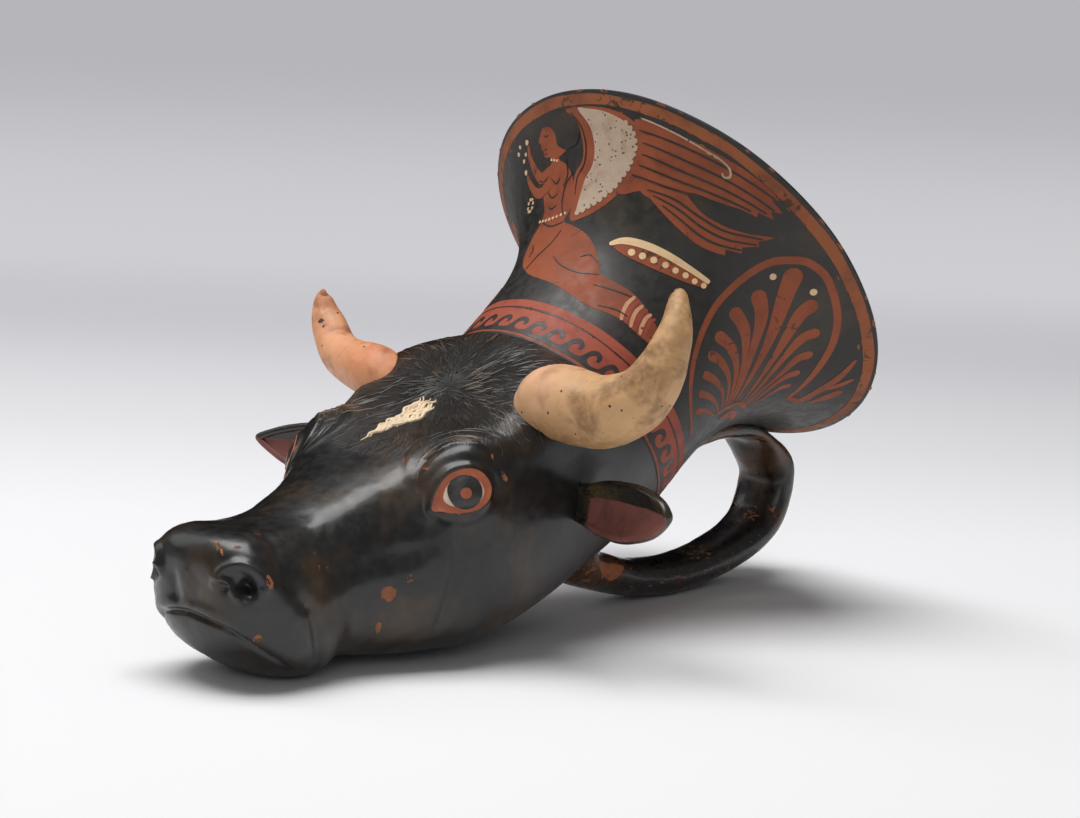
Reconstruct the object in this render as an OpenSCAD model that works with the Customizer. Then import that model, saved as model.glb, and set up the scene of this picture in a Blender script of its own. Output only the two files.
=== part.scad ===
// Rhyton: a hollow ceramic drinking cup in the shape of a bull's head. The head is
// pressed in two mould halves and holds the lower part of the drink. A wheel-thrown
// bowl with a flaring lip seats in its neck. Horns, ears and a strap handle are modelled
// by hand and luted on. Laid down, the cup rests on its chin and on its handle.
// X runs across the head, the muzzle points to -Y, the mouth looks to +Y and up.

/* [Bowl] */
// Outer diameter of the lip
mouth_d = 114; // [98:1:140]
// Outer diameter of the neck, where the bowl meets the head
neck_d = 62.2; // [52:0.2:76]
// Length of the bowl along its axis, from the neck joint to the lip
bowl_l = 61.8; // [48:0.2:76]
// Straight collar of the bowl above the neck joint
collar_l = 12; // [4:1:20]
// Shape of the flare above the collar, a higher value opens later
flare_shape = 2.8; // [1.6:0.1:4]
// Wall of the bowl
bowl_wall = 4.2; // [3:0.1:6]
// Lean of the bowl's axis over the table
bowl_lean = 37.5; // [33:0.5:42]
// Rounding of the lip's edge
lip_edge = 1; // [0.4:0.2:1.4]
// Length of the spigot that seats in the head
spigot_l = 13; // [6:1:18]
// Wall of the spigot
spigot_wall = 3.2; // [2.4:0.1:4]
// Gap between the spigot and its socket
socket_gap = 0.2; // [0.1:0.05:0.3]

/* [Head] */
// Length of the head, from the muzzle to the middle of the neck joint
head_l = 118.2; // [98:0.2:144]
// Height of the middle of the neck joint over the table
neck_h = 46.8; // [42:0.2:54]
// Width of the head across the cheeks
head_w = 63; // [54:1:74]
// Wall of the head
head_wall = 4.6; // [3.8:0.1:6]

/* [Horns and ears] */
// Spread of the horns, tip to tip
horn_spread = 117; // [100:1:136]
// Thickness of a horn at its root
horn_d = 18; // [14:0.5:21]
// Height of the left horn's tip over the middle of its root
left_horn_rise = 27; // [20:1:34]
// Height of the right horn's tip over the middle of its root, worn shorter
right_horn_rise = 15; // [12:1:24]
// Spread of the ears, tip to tip
ear_spread = 136; // [112:1:158]
// Height of an ear at its widest
ear_h = 15; // [11:0.5:18]
// Depth of the hollow of an ear
ear_hollow = 2.6; // [1:0.2:3.4]

/* [Handle] */
// Width of the strap
strap_w = 15; // [12:0.5:20]
// Reach of the handle behind the middle of the neck joint
handle_reach = 92.2; // [82:0.2:106]
// Thickness of the strap
strap_t = 9; // [7:0.2:10]
// Gap between the handle and the bowl that it runs along
saddle_gap = 0.15; // [0.1:0.05:0.3]

/* [Hidden] */

// The frame's origin is under the middle of the object's length, on the table
muzzle_y = -(head_l + handle_reach) / 2;
neck_y = muzzle_y + head_l;
neck_r = neck_d / 2;
socket_r = neck_r - head_wall;
lean_c = cos(bowl_lean);
lean_s = sin(bowl_lean);

// Surface detail: points round half a section, and rings between two stations
half_points = 20;
rings_between = 2;
bowl_steps = 12;
round_facets = 96;
horn_facets = 16;
horn_between = 4;
ear_between = 3;
ear_steps = 9;
strap_facets = 16;

function mix(a, b, t) = a + (b - a) * t;
// Value at t between the second and the third of four values, as a smooth curve
function smooth(p, t) = p[1] + 0.5 * t * (p[2] - p[0] + t * (2 * p[0] - 5 * p[1] + 4 * p[2] - p[3]
    + t * (3 * (p[1] - p[2]) + p[3] - p[0])));
function at(list, i) = list[max(0, min(len(list) - 1, i))];
// More stations on a smooth curve through the given ones
function refine(list, n) = [
    for (i = [0 : len(list) - 2]) for (k = [0 : n - 1])
        smooth([at(list, i - 1), list[i], list[i + 1], at(list, i + 2)], k / n),
    list[len(list) - 1]];
// Outline of half a section, 0 at its top and 1 at its bottom, as [out, up] within 1
function half_outline(t, box) = let (s = sin(180 * t), c = cos(180 * t))
    [pow(s, 2 / box), sign(c) * pow(abs(c), 2 / box)];

// Faces that join rings of n points each, closed round, with flat ends
function ring_faces(rings, n) = concat(
    [for (r = [0 : rings - 2]) for (i = [0 : n - 1]) let (j = (i + 1) % n) for (half = [0, 1])
        half == 0 ? [r * n + i, (r + 1) * n + i, r * n + j]
                  : [(r + 1) * n + i, (r + 1) * n + j, r * n + j]],
    [[for (i = [0 : n - 1]) i], [for (i = [n - 1 : -1 : 0]) (rings - 1) * n + i]]);

// Point at the distance s from the neck joint, up the bowl's axis, and r from the axis
function bowl_point(s, r) = [0, neck_y + s * lean_c - r * lean_s, neck_h + s * lean_s + r * lean_c];

// Radius of the bowl's outside at the distance s from the neck joint
function flare(s) = s <= collar_l ? neck_r
    : mix(neck_r, mouth_d / 2, pow((s - collar_l) / (bowl_l - lip_edge - collar_l), flare_shape));

// Stations of the head from the muzzle to the nape, as [crown y, crown z, jaw y, jaw z,
// half width, boxiness above, boxiness below, height of the widest place]: lengths are
// shares of head_l, heights of neck_h and widths of head_w / 2
MUZZLE_TO_NAPE = [
    [0.004, 0.56, 0.010, 0.38, 0.12, 2.2, 2.0, 0.50],
    [0.013, 0.66, 0.018, 0.27, 0.31, 2.6, 2.1, 0.50],
    [0.042, 0.73, 0.045, 0.175, 0.48, 2.7, 2.2, 0.50],
    [0.093, 0.750, 0.098, 0.09, 0.58, 2.5, 2.3, 0.46],
    [0.160, 0.750, 0.165, 0.012, 0.63, 2.3, 2.6, 0.44],
    [0.225, 0.780, 0.245, -0.014, 0.61, 2.2, 2.8, 0.46],
    [0.280, 0.835, 0.300, 0.045, 0.60, 2.2, 2.6, 0.48],
    [0.345, 0.90, 0.375, 0.040, 0.67, 2.4, 3.0, 0.46],
    [0.425, 0.99, 0.460, 0.030, 0.80, 3.0, 3.2, 0.45],
    [0.515, 1.09, 0.555, 0.030, 0.92, 4.6, 3.2, 0.46],
    [0.600, 1.16, 0.655, 0.045, 0.97, 4.6, 2.9, 0.50],
    [0.685, 1.285, 0.755, 0.085, 1.01, 6.0, 2.5, 0.54],
    [0.760, 1.43, 0.870, 0.165, 1.02, 4.6, 2.2, 0.52]];

// Heights added to the surface of the left half, as [point, radius, height]:
// brow, eye socket, eyeball, nostril pad and cheekbone
SWELLS = [
    [[24.5, muzzle_y + 0.533 * head_l, 1.09 * neck_h], 9, 3.2],
    [[27, muzzle_y + 0.555 * head_l, 0.96 * neck_h], 6, -1.2],
    [[28, muzzle_y + 0.505 * head_l, 0.86 * neck_h], 7, 1.6],
    [[17, muzzle_y + 0.045 * head_l, 0.54 * neck_h], 7, 1.8],
    [[29, muzzle_y + 0.520 * head_l, 0.45 * neck_h], 14, 1.2]];

function swell(p) = [for (s = SWELLS) let (d = norm(p - s[0]) / s[1]) d < 2.2 ? s[2] * exp(-d * d) : 0];
function sum(list, i = 0) = i < len(list) ? list[i] + sum(list, i + 1) : 0;

// Radius of the neck that the stations are drawn for. With another one, the back of the
// head widens with it, from the first of two shares of head_l and in full at the second
drawn_neck_r = 31.1;
NECK_BLEND = [0.515, 0.76];

function head_station(f) = let (
        way = max(0, (f[0] - NECK_BLEND[0]) / (NECK_BLEND[1] - NECK_BLEND[0])),
        more = (neck_r - drawn_neck_r) * pow(way, 1.5))
    [muzzle_y + f[0] * head_l - more * lean_s, f[1] * neck_h + more * lean_c,
        muzzle_y + f[2] * head_l + more * lean_s, f[3] * neck_h - more * lean_c,
        f[4] * head_w / 2 + more, f[5], f[6], f[7]];
nape_top = bowl_point(0, neck_r);
nape_bottom = bowl_point(0, -neck_r);
head_stations = refine(concat([for (f = MUZZLE_TO_NAPE) head_station(f)],
    [[nape_top.y, nape_top.z, nape_bottom.y, nape_bottom.z, neck_r, 2, 2, 0.5]]), rings_between);

// Point of the left half's skin at the station q, a share t of the way down, under the wall
function skin_point(q, t, wall) = let (
        top = [0, q[0], q[1]],
        low = [0, q[2], q[3]],
        way = (top - low) / norm(top - low),
        middle = mix(low, top, q[7]),
        o = half_outline(t, t < 0.5 ? q[5] : q[6]),
        up = o.y > 0 ? norm(top - middle) - wall : norm(middle - low) - wall,
        p = middle + way * up * o.y + [(q[4] - wall) * o.x, 0, 0],
        out = p - middle,
        lift = wall > 0 ? 0 : sum(swell(p)))
    p + (norm(out) > 0 ? out / norm(out) : out) * lift * min(1, o.x * 4);

function half_ring(q, wall) = [for (i = [0 : half_points]) skin_point(q, i / half_points, wall)];

// The head's hollow starts at this station, behind the solid muzzle
hollow_from = 5;
skin_n = half_points + 1;
skin_rings = len(head_stations);
inner_rings = skin_rings - hollow_from;
inner_start = skin_rings * skin_n;

// Near the neck joint the hollow narrows by this, so that the socket, which is cut after,
// takes all of its wall
socket_ledge = 1.6;
function inner_wall(r) = head_wall + socket_ledge * max(0, (r - inner_rings + 3) / 2);

head_points = concat(
    [for (q = head_stations) each half_ring(q, 0)],
    [for (r = [0 : inner_rings - 1]) each half_ring(head_stations[r + hollow_from], inner_wall(r))]);

function skin_faces(start, rings, flip) = [
    for (r = [0 : rings - 2]) for (i = [0 : skin_n - 2])
        let (a = start + r * skin_n + i, b = a + 1, c = a + skin_n, d = c + 1)
        for (tri = [[a, b, c], [b, d, c]]) flip ? [tri[2], tri[1], tri[0]] : tri];

// Numbers of the points on the crown line, the jaw line and the hollow's two lines below them
function crown(r) = r * skin_n;
function jaw(r) = crown(r + 1) - 1;
function inner_crown(r) = inner_start + crown(r);
function inner_jaw(r) = inner_start + jaw(r);
function halved(q) = [[q[0], q[1], q[2]], [q[0], q[2], q[3]]];

head_faces = concat(
    skin_faces(0, skin_rings, true),
    skin_faces(inner_start, inner_rings, false),
    // Front of the muzzle and front of the hollow
    [[for (i = [skin_n - 1 : -1 : 0]) i]],
    [[for (i = [0 : skin_n - 1]) inner_start + i]],
    // Neck joint
    [for (i = [0 : skin_n - 2]) let (
            a = crown(skin_rings - 1) + i,
            b = inner_crown(inner_rings - 1) + i)
        each [[a, a + 1, b], [a + 1, b + 1, b]]],
    // Face that meets the other half: the solid muzzle, the last strip of it, which ends at
    // the front of the hollow, then the wall above the hollow and the wall below it
    [for (r = [0 : hollow_from - 2]) each halved([crown(r), crown(r + 1), jaw(r + 1), jaw(r)])],
    let (r = hollow_from) [
        [crown(r - 1), crown(r), inner_crown(0)],
        [crown(r - 1), inner_crown(0), inner_jaw(0)],
        [crown(r - 1), inner_jaw(0), jaw(r)],
        [crown(r - 1), jaw(r), jaw(r - 1)]],
    [for (r = [0 : inner_rings - 2]) let (s = r + hollow_from) each concat(
        halved([crown(s), crown(s + 1), inner_crown(r + 1), inner_crown(r)]),
        halved([inner_jaw(r), inner_jaw(r + 1), jaw(s + 1), jaw(s)]))]);

// The whole head without its hollow, which horns, ears and handle are cut to fit
solid_n = 2 * half_points;
solid_points = [for (q = head_stations) each concat(half_ring(q, 0),
    [for (i = [half_points - 1 : -1 : 1]) let (p = skin_point(q, i / half_points, 0)) [-p.x, p.y, p.z]])];

module head_solid() {
    polyhedron(solid_points, ring_faces(skin_rings, solid_n));
}

module on_bowl_axis() {
    translate([0, neck_y, neck_h]) rotate([bowl_lean - 90, 0, 0]) children();
}

bowl_outside = [for (i = [0 : bowl_steps])
    let (s = mix(collar_l, bowl_l - lip_edge, i / bowl_steps)) [flare(s), s]];

// The bowl as a solid round, grown a little, which the handle is cut to fit
module bowl_solid(grow) {
    on_bowl_axis() rotate_extrude($fn = round_facets) polygon(concat(
        [[0, -grow], [neck_r + grow, -grow]],
        [for (p = bowl_outside) p + [grow, -grow]],
        [[mouth_d / 2 + grow, bowl_l + grow], [0, bowl_l + grow]]));
}

// The table's side of the flats that are ground on the chin and on the handle
module below_table() {
    translate([-mouth_d, muzzle_y - head_l, -neck_h])
        cube([2 * mouth_d, 3 * head_l + handle_reach, neck_h]);
}

module head_half() {
    difference() {
        polyhedron(head_points, head_faces);
        below_table();
        on_bowl_axis() translate([0, 0, -spigot_l - socket_gap])
            cylinder(r = socket_r, h = 2 * spigot_l, $fn = round_facets);
    }
}

module head_left_half() { color("#2b2825") head_half(); }

module head_right_half() { color("#2b2825") mirror([1, 0, 0]) head_half(); }

// The bowl, its bore and its spigot, turned in one piece
module bowl() {
    spigot_r = socket_r - socket_gap;
    bore_r = spigot_r - spigot_wall;
    inside = [for (i = [bowl_steps : -1 : 1]) bowl_outside[i] - [bowl_wall, 0]];
    color("#3a322c") on_bowl_axis() rotate_extrude($fn = round_facets) polygon(concat(
        [[bore_r, -spigot_l], [spigot_r, -spigot_l], [spigot_r, 0], [neck_r, 0]],
        bowl_outside,
        [[mouth_d / 2 - lip_edge, bowl_l], [mouth_d / 2 - bowl_wall + lip_edge, bowl_l]],
        inside,
        [[bore_r, 0]]));
}

// A tapering horn along the given places
module horn(places, radii) {
    path = refine(places, horn_between);
    r = refine(radii, horn_between);
    n = len(path);
    rings = [for (k = [0 : n - 1]) let (
            ahead = path[min(n - 1, k + 1)] - path[max(0, k - 1)],
            d = ahead / norm(ahead),
            side = cross(d, [0, 1, 0]),
            u = side / norm(side),
            v = cross(d, u))
        each [for (i = [0 : horn_facets - 1]) let (a = 360 * i / horn_facets)
            path[k] + r[k] * (u * cos(a) + v * sin(a))]];
    polyhedron(rings, ring_faces(n, horn_facets));
}

// Middle of a horn's root, on the height of the poll
horn_y = muzzle_y + 0.728 * head_l;
horn_z = 1.29 * neck_h;
// Places along a horn, as [share of half the spread, forward of the root in mm, share of
// the rise, share of horn_d], each horn shaped by hand
LEFT_HORN = [[0.36, 0, -0.18, 0.8], [0.47, 0, -0.02, 1], [0.77, -1, -0.03, 0.94], [0.955, 1, 0.18, 0.80],
    [1.025, 5, 0.62, 0.54], [1.0, 8.8, 0.95, 0.26], [0.99, 9.4, 1, 0.08]];
RIGHT_HORN = [[0.36, 0, -0.3, 0.76], [0.47, 0, -0.02, 0.92], [0.66, 3, 0, 0.74], [0.83, 6.5, 0.12, 0.58],
    [0.95, 9, 0.55, 0.46], [0.985, 9.4, 0.9, 0.27], [0.985, 9.2, 1, 0.08]];

module horn_of(shape, rise) {
    resize([0, 0, 0]) difference() {
        horn([for (f = shape) [f[0] * horn_spread / 2, horn_y + f[1], horn_z + f[2] * rise]],
            [for (f = shape) f[3] * horn_d / 2]);
        head_solid();
    }
}

module left_horn() { color("#d3ac78") horn_of(LEFT_HORN, left_horn_rise); }

module right_horn() { color("#d99b66") mirror([1, 0, 0]) horn_of(RIGHT_HORN, right_horn_rise); }

// Bulge of an ear's back and of the full front that its hollow is pressed into
ear_back = 2.8;
ear_front = 1.6;

// A leaf-shaped ear, hollow in front, along the line from its root to its tip
module ear() {
    root = [head_w * 0.40, muzzle_y + 0.80 * head_l, 0.775 * neck_h];
    tip = [ear_spread / 2, muzzle_y + 0.705 * head_l, 0.83 * neck_h];
    // Shares of the way to the tip, of ear_h and of ear_hollow
    leaf = refine([[0, 0.55, 0], [0.25, 0.72, 0.1], [0.42, 0.95, 0.8], [0.62, 1, 1], [0.8, 0.82, 0.8],
        [0.93, 0.5, 0.4], [1, 0.12, 0]], ear_between);
    rings = [for (f = leaf) let (c = mix(root, tip, f[0]), h = f[1] * ear_h / 2) each concat(
        [for (i = [0 : ear_steps]) let (a = 180 * i / ear_steps)
            c + [0, ear_back * f[1] * sin(a), h * cos(a)]],
        [for (i = [ear_steps - 1 : -1 : 1]) let (a = 180 * i / ear_steps)
            c + [0, (ear_hollow * f[2] - ear_front * f[1]) * sin(a), h * cos(a)]])];
    resize([0, 0, 0]) difference() {
        polyhedron(rings, ring_faces(len(leaf), 2 * ear_steps));
        head_solid();
    }
}

module left_ear() { color("#5e3a34") ear(); }

module right_ear() { color("#5e3a34") mirror([1, 0, 0]) ear(); }

// Boxiness of the strap's section, 1 is an ellipse
strap_box = 0.85;

// A strap from the throat, round in a loop and along the bowl. Its stations are [outer y,
// outer z, inner y, inner z, half width], with y from the middle of the neck joint
module handle() {
    reach = handle_reach;
    w = strap_w / 2;
    t = strap_t;
    // The root along the bowl: distance up the bowl's axis, depth into it, thickness, width
    root = [for (f = [[0.88, 3, t * 0.62, 1], [0.74, 3, t * 0.58, 0.98], [0.6, 2.5, t * 0.55, 0.95],
            [0.46, 2.5, t * 0.50, 0.9], [0.32, 2, t * 0.40, 0.8], [0.2, 1, t * 0.2, 0.6]])
        let (s = f[0] * bowl_l, a = bowl_point(s, -flare(s) + f[1]), b = bowl_point(s, -flare(s) - f[2]))
        [a.y, a.z, b.y, b.z, w * f[3]]];
    loop = [for (f = [
            [0.02 * reach, 0.29 * neck_h, 0.11 * reach, 0.42 * neck_h, w * 1.25],
            [0.06 * reach, 0.175 * neck_h, 0.155 * reach, 0.34 * neck_h, w * 1.15],
            [0.16 * reach, 0.10 * neck_h, 0.21 * reach, 0.10 * neck_h + t, w * 1.05],
            [0.32 * reach, 0.024 * neck_h, 0.345 * reach, 0.028 * neck_h + t, w],
            [0.495 * reach, -0.012 * neck_h, 0.49 * reach, t, w],
            [0.67 * reach, 0.026 * neck_h, 0.642 * reach, 0.03 * neck_h + t, w],
            [0.84 * reach, 0.125 * neck_h, 0.84 * reach - t * 0.45, 0.125 * neck_h + t * 0.88, w],
            [0.953 * reach, 0.285 * neck_h, 0.953 * reach - t * 0.85, 0.285 * neck_h + t * 0.5, w],
            [reach, 0.535 * neck_h, reach - t, 0.535 * neck_h, w],
            [0.965 * reach, 0.74 * neck_h, 0.975 * reach - t * 0.95, 0.68 * neck_h - t * 0.3, w]])
        [neck_y + f[0], f[1], neck_y + f[2], f[3], f[4]]];
    stations = refine(concat(loop, root), 2);
    rings = [for (q = stations) let (a = [0, q[0], q[1]], b = [0, q[2], q[3]]) each
        [for (i = [0 : strap_facets - 1]) let (
                turn = 360 * i / strap_facets,
                c = sign(cos(turn)) * pow(abs(cos(turn)), strap_box),
                s = sign(sin(turn)) * pow(abs(sin(turn)), strap_box))
            mix(b, a, 0.5 + 0.5 * c) + [q[4] * s, 0, 0]]];
    color("#2b2825") difference() {
        resize([0, 0, 0]) difference() {
            polyhedron(rings, ring_faces(len(stations), strap_facets));
            head_solid();
            bowl_solid(saddle_gap);
        }
        below_table();
    }
}

bowl();
head_left_half();
head_right_half();
left_horn();
right_horn();
left_ear();
right_ear();
handle();
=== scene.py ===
"""A rhyton, a ceramic drinking cup in the shape of a bull's head, laid on its chin and handle.

The pieces are the head, its thrown bowl, two horns, two ears and a strap handle, and the slips
that are painted on them. Places are in millimetres here and in metres in the meshes.
"""

import math

import bmesh
import bpy
import numpy as np
from bpy.props import FloatProperty, FloatVectorProperty, IntProperty, PointerProperty
from mathutils import Matrix, Vector, noise
from mathutils.bvhtree import BVHTree


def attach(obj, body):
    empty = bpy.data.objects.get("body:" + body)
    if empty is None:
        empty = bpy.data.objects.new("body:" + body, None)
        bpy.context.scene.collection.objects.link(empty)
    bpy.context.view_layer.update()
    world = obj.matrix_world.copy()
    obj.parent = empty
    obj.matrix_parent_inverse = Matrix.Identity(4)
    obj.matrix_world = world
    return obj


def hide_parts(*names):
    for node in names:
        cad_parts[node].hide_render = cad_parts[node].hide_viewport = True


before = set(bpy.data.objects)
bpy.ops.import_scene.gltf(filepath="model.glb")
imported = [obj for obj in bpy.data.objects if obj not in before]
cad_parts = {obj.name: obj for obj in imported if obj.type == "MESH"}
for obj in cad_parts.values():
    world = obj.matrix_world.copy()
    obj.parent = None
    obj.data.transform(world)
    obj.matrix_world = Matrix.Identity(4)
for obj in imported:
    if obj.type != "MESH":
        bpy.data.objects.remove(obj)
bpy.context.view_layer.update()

bl_info = {
    "name": "Bull's Head Rhyton",
    "version": (1, 0, 0),
    "blender": (4, 5, 0),
    "location": "View3D > Sidebar > Rhyton",
    "description": "Models the glazed head, bowl, horns, ears, handle and slip painting of a rhyton",
    "category": "Add Mesh",
}

MM = 0.001

# Neck joint: its middle, the bowl's axis and the direction of the bowl's top
NECK = np.array([0.0, 13.0, 46.8])
AXIS = np.array([0.0, 0.79335, 0.60876])
TOP = np.array([0.0, -0.60876, 0.79335])
SIDE = np.array([1.0, 0.0, 0.0])
NECK_R = 31.1
LIP_R = 57.0
BOWL_L = 61.8
COLLAR_L = 12.0
FLARE_SHAPE = 2.8
LIP_EDGE = 1.0
BOWL_WALL = 4.2
SPIGOT_L = 13.0
SPIGOT_R = 26.3
BORE_R = 23.1

# Head: muzzle, length, height of the neck joint and width, and its stations from the muzzle
# to the nape as [crown y, crown z, jaw y, jaw z, half width, boxiness above and below, height
# of the widest place], in shares of those lengths
MUZZLE_Y = -105.2
HEAD_L = 118.2
NECK_H = 46.8
HEAD_W = 63.0
HEAD_WALL = 4.6
STATIONS = [
    [0.004, 0.56, 0.010, 0.38, 0.12, 2.2, 2.0, 0.50],
    [0.013, 0.66, 0.018, 0.27, 0.31, 2.6, 2.1, 0.50],
    [0.042, 0.73, 0.045, 0.175, 0.48, 2.7, 2.2, 0.50],
    [0.093, 0.750, 0.098, 0.09, 0.58, 2.5, 2.3, 0.46],
    [0.160, 0.750, 0.165, 0.012, 0.63, 2.3, 2.6, 0.44],
    [0.225, 0.780, 0.245, -0.014, 0.61, 2.2, 2.8, 0.46],
    [0.280, 0.835, 0.300, 0.045, 0.60, 2.2, 2.6, 0.48],
    [0.345, 0.90, 0.375, 0.040, 0.67, 2.4, 3.0, 0.46],
    [0.425, 0.99, 0.460, 0.030, 0.80, 3.0, 3.2, 0.45],
    [0.515, 1.09, 0.555, 0.030, 0.92, 4.6, 3.2, 0.46],
    [0.600, 1.16, 0.655, 0.045, 0.97, 4.6, 2.9, 0.50],
    [0.685, 1.285, 0.755, 0.085, 1.01, 6.0, 2.5, 0.54],
    [0.760, 1.43, 0.870, 0.165, 1.02, 4.6, 2.2, 0.52],
]

# Brow, eye socket, eyeball, nostril pad and cheekbone, as place, radius and height
SWELLS = [
    [(24.5, -42.2, 51.0), 9, 3.2],
    [(27.0, -39.6, 44.9), 6, -1.2],
    [(28.0, -45.5, 40.2), 7, 1.6],
    [(17.0, -99.9, 25.3), 7, 1.8],
    [(29.0, -43.7, 21.1), 14, 1.2],
]


# Numbers


def mix(a, b, t):
    return a + (b - a) * t


def refined(rows, n):
    """More rows on a smooth curve through the given ones, n for each step between two of them."""
    rows = np.asarray(rows, float)
    last = len(rows) - 1
    out = []
    for i in range(last):
        p = [rows[max(0, min(last, k))] for k in (i - 1, i, i + 1, i + 2)]
        for k in range(n):
            t = k / n
            out.append(p[1] + 0.5 * t * (p[2] - p[0] + t * (2 * p[0] - 5 * p[1] + 4 * p[2] - p[3]
                + t * (3 * (p[1] - p[2]) + p[3] - p[0]))))
    out.append(rows[last])
    return np.array(out)


def evened(points, n):
    """n points at even steps along an open line, its two ends among them."""
    points = np.asarray(points, float)
    way = np.r_[0, np.cumsum(np.linalg.norm(np.diff(points, axis=0), axis=1))]
    at = np.linspace(0, way[-1], n)
    return np.stack([np.interp(at, way, points[:, k]) for k in range(points.shape[1])], 1)


def flare(s):
    """Radius of the bowl's outside at the distance s from the neck joint."""
    t = np.clip((np.asarray(s, float) - COLLAR_L) / (BOWL_L - LIP_EDGE - COLLAR_L), 0, 1.02)
    return NECK_R + (LIP_R - NECK_R) * t ** FLARE_SHAPE


def rim_sway(turn, s):
    """How far the lip strays along the axis from a true circle, turn in radians."""
    return (0.16 * np.sin(2 * turn + 0.6) + 0.1 * np.sin(5 * turn + 2.0) + 0.06 * np.sin(11 * turn)) * (
        np.clip((s - 45) / 17, 0, 1) ** 2)


def on_bowl(turn, s, lift=0.0):
    """Place on the bowl's outside: turn in degrees from its top, positive towards the bull's left."""
    turn = np.radians(np.asarray(turn, float))
    s = np.asarray(s, float)
    sway = rim_sway(turn, s)
    slope = (flare(s + 0.01) - flare(s - 0.01)) / 0.02
    long = np.sqrt(1 + slope ** 2)
    r = flare(s) + lift / long
    s = s - lift * slope / long + sway
    return (NECK + np.multiply.outer(s, AXIS) + np.multiply.outer(r * np.cos(turn), TOP)
        + np.multiply.outer(r * np.sin(turn), SIDE))


# Modelling tools


def put_down():
    """Leaves edit mode with nothing selected."""
    if bpy.context.mode != "OBJECT":
        bpy.ops.object.mode_set(mode="OBJECT")
    bpy.ops.object.select_all(action="DESELECT")


def pick(*pieces):
    put_down()
    for piece in pieces:
        piece.select_set(True)
    bpy.context.view_layer.objects.active = pieces[0]


def draw_out(name, rings):
    """A closed tube through rings of points: a filled circle, extruded from ring to ring."""
    put_down()
    bpy.ops.mesh.primitive_circle_add(vertices=len(rings[0]), radius=0.01, fill_type="NGON")
    piece = bpy.context.active_object
    piece.name = name
    piece.data.name = name
    bpy.ops.object.mode_set(mode="EDIT")
    for k, ring in enumerate(rings):
        if k:
            bpy.ops.mesh.extrude_region()
        mesh = bmesh.from_edit_mesh(piece.data)
        face = next(f for f in mesh.faces if f.select)
        for corner, place in zip(face.verts, np.asarray(ring) * MM):
            corner.co = place
        bmesh.update_edit_mesh(piece.data)
    bpy.ops.mesh.select_all(action="SELECT")
    bpy.ops.mesh.normals_make_consistent(inside=False)
    bpy.ops.object.mode_set(mode="OBJECT")
    return piece


def subdivide(piece, levels, kind="CATMULL_CLARK"):
    pick(piece)
    skin = piece.modifiers.new("Smooth Skin", "SUBSURF")
    skin.levels = skin.render_levels = levels
    skin.subdivision_type = kind
    skin.use_limit_surface = False
    bpy.ops.object.modifier_apply(modifier=skin.name)


def shade(piece, degrees=45):
    pick(piece)
    bpy.ops.object.shade_smooth_by_angle(angle=math.radians(degrees))


def places(piece):
    co = np.empty(len(piece.data.vertices) * 3, np.float32)
    piece.data.vertices.foreach_get("co", co)
    return co.reshape(-1, 3).astype(float) / MM


def directions(piece):
    n = np.empty(len(piece.data.vertices) * 3, np.float32)
    piece.data.vertices.foreach_get("normal", n)
    return n.reshape(-1, 3).astype(float)


def set_places(piece, points):
    piece.data.vertices.foreach_set("co", (np.asarray(points) * MM).astype(np.float32).ravel())
    piece.data.update()


def near_line(points, line):
    """Distance from each point to a polyline, and the share of its length at the nearest place."""
    line = np.asarray(line, float)
    if len(line) == 1:
        return np.linalg.norm(points - line[0], axis=1), np.zeros(len(points))
    steps = np.linalg.norm(np.diff(line, axis=0), axis=1)
    before = np.r_[0, np.cumsum(steps)]
    best = np.full(len(points), np.inf)
    share = np.zeros(len(points))
    for k in range(len(line) - 1):
        way = line[k + 1] - line[k]
        t = np.clip((points - line[k]) @ way / max(way @ way, 1e-9), 0, 1)
        away = np.linalg.norm(points - line[k] - t[:, None] * way, axis=1)
        closer = away < best
        best[closer] = away[closer]
        share[closer] = (before[k] + t[closer] * steps[k]) / before[-1]
    return best, share


def rumple(points, size, seed):
    """Even, seeded lumps between -1 and 1 over the given points."""
    shift = Vector((seed * 13.7, seed * 5.1, seed * 9.3))
    return np.array([noise.noise(Vector(p) / size + shift) for p in points])


def finish_piece(piece, slot, material, *nodes):
    piece.data.materials.clear()
    piece.data.materials.append(material)
    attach(piece, "root")
    if nodes:
        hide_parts(*nodes)
    put_down()
    return piece


# Slip shapes: flat outlines in two numbers, filled, cut fine and laid on a surface


def flat_fill(name, layers):
    """A flat mesh of filled outlines. A layer is a list of closed outlines that don't cross;
    one inside another is a hole. Returns the piece, with the layer of each vertex kept in an attribute."""
    parts = []
    for layer in layers:
        put_down()
        drawing = bpy.data.curves.new(name, "CURVE")
        drawing.dimensions = "2D"
        drawing.fill_mode = "BOTH"
        for outline in layer:
            spline = drawing.splines.new("POLY")
            spline.points.add(len(outline) - 1)
            flat = np.zeros((len(outline), 4))
            flat[:, :2] = outline
            flat[:, 3] = 1
            spline.points.foreach_set("co", flat.ravel())
            spline.use_cyclic_u = True
        part = bpy.data.objects.new(name, drawing)
        bpy.context.scene.collection.objects.link(part)
        pick(part)
        bpy.ops.object.convert(target="MESH")
        part = bpy.context.active_object
        depth = part.data.attributes.new("layer", "FLOAT", "POINT")
        depth.data.foreach_set("value", np.full(len(part.data.vertices), float(len(parts)), np.float32))
        parts.append(part)
    pick(*parts)
    if len(parts) > 1:
        bpy.ops.object.join()
    piece = bpy.context.active_object
    piece.name = name
    piece.data.name = name
    return piece


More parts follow.
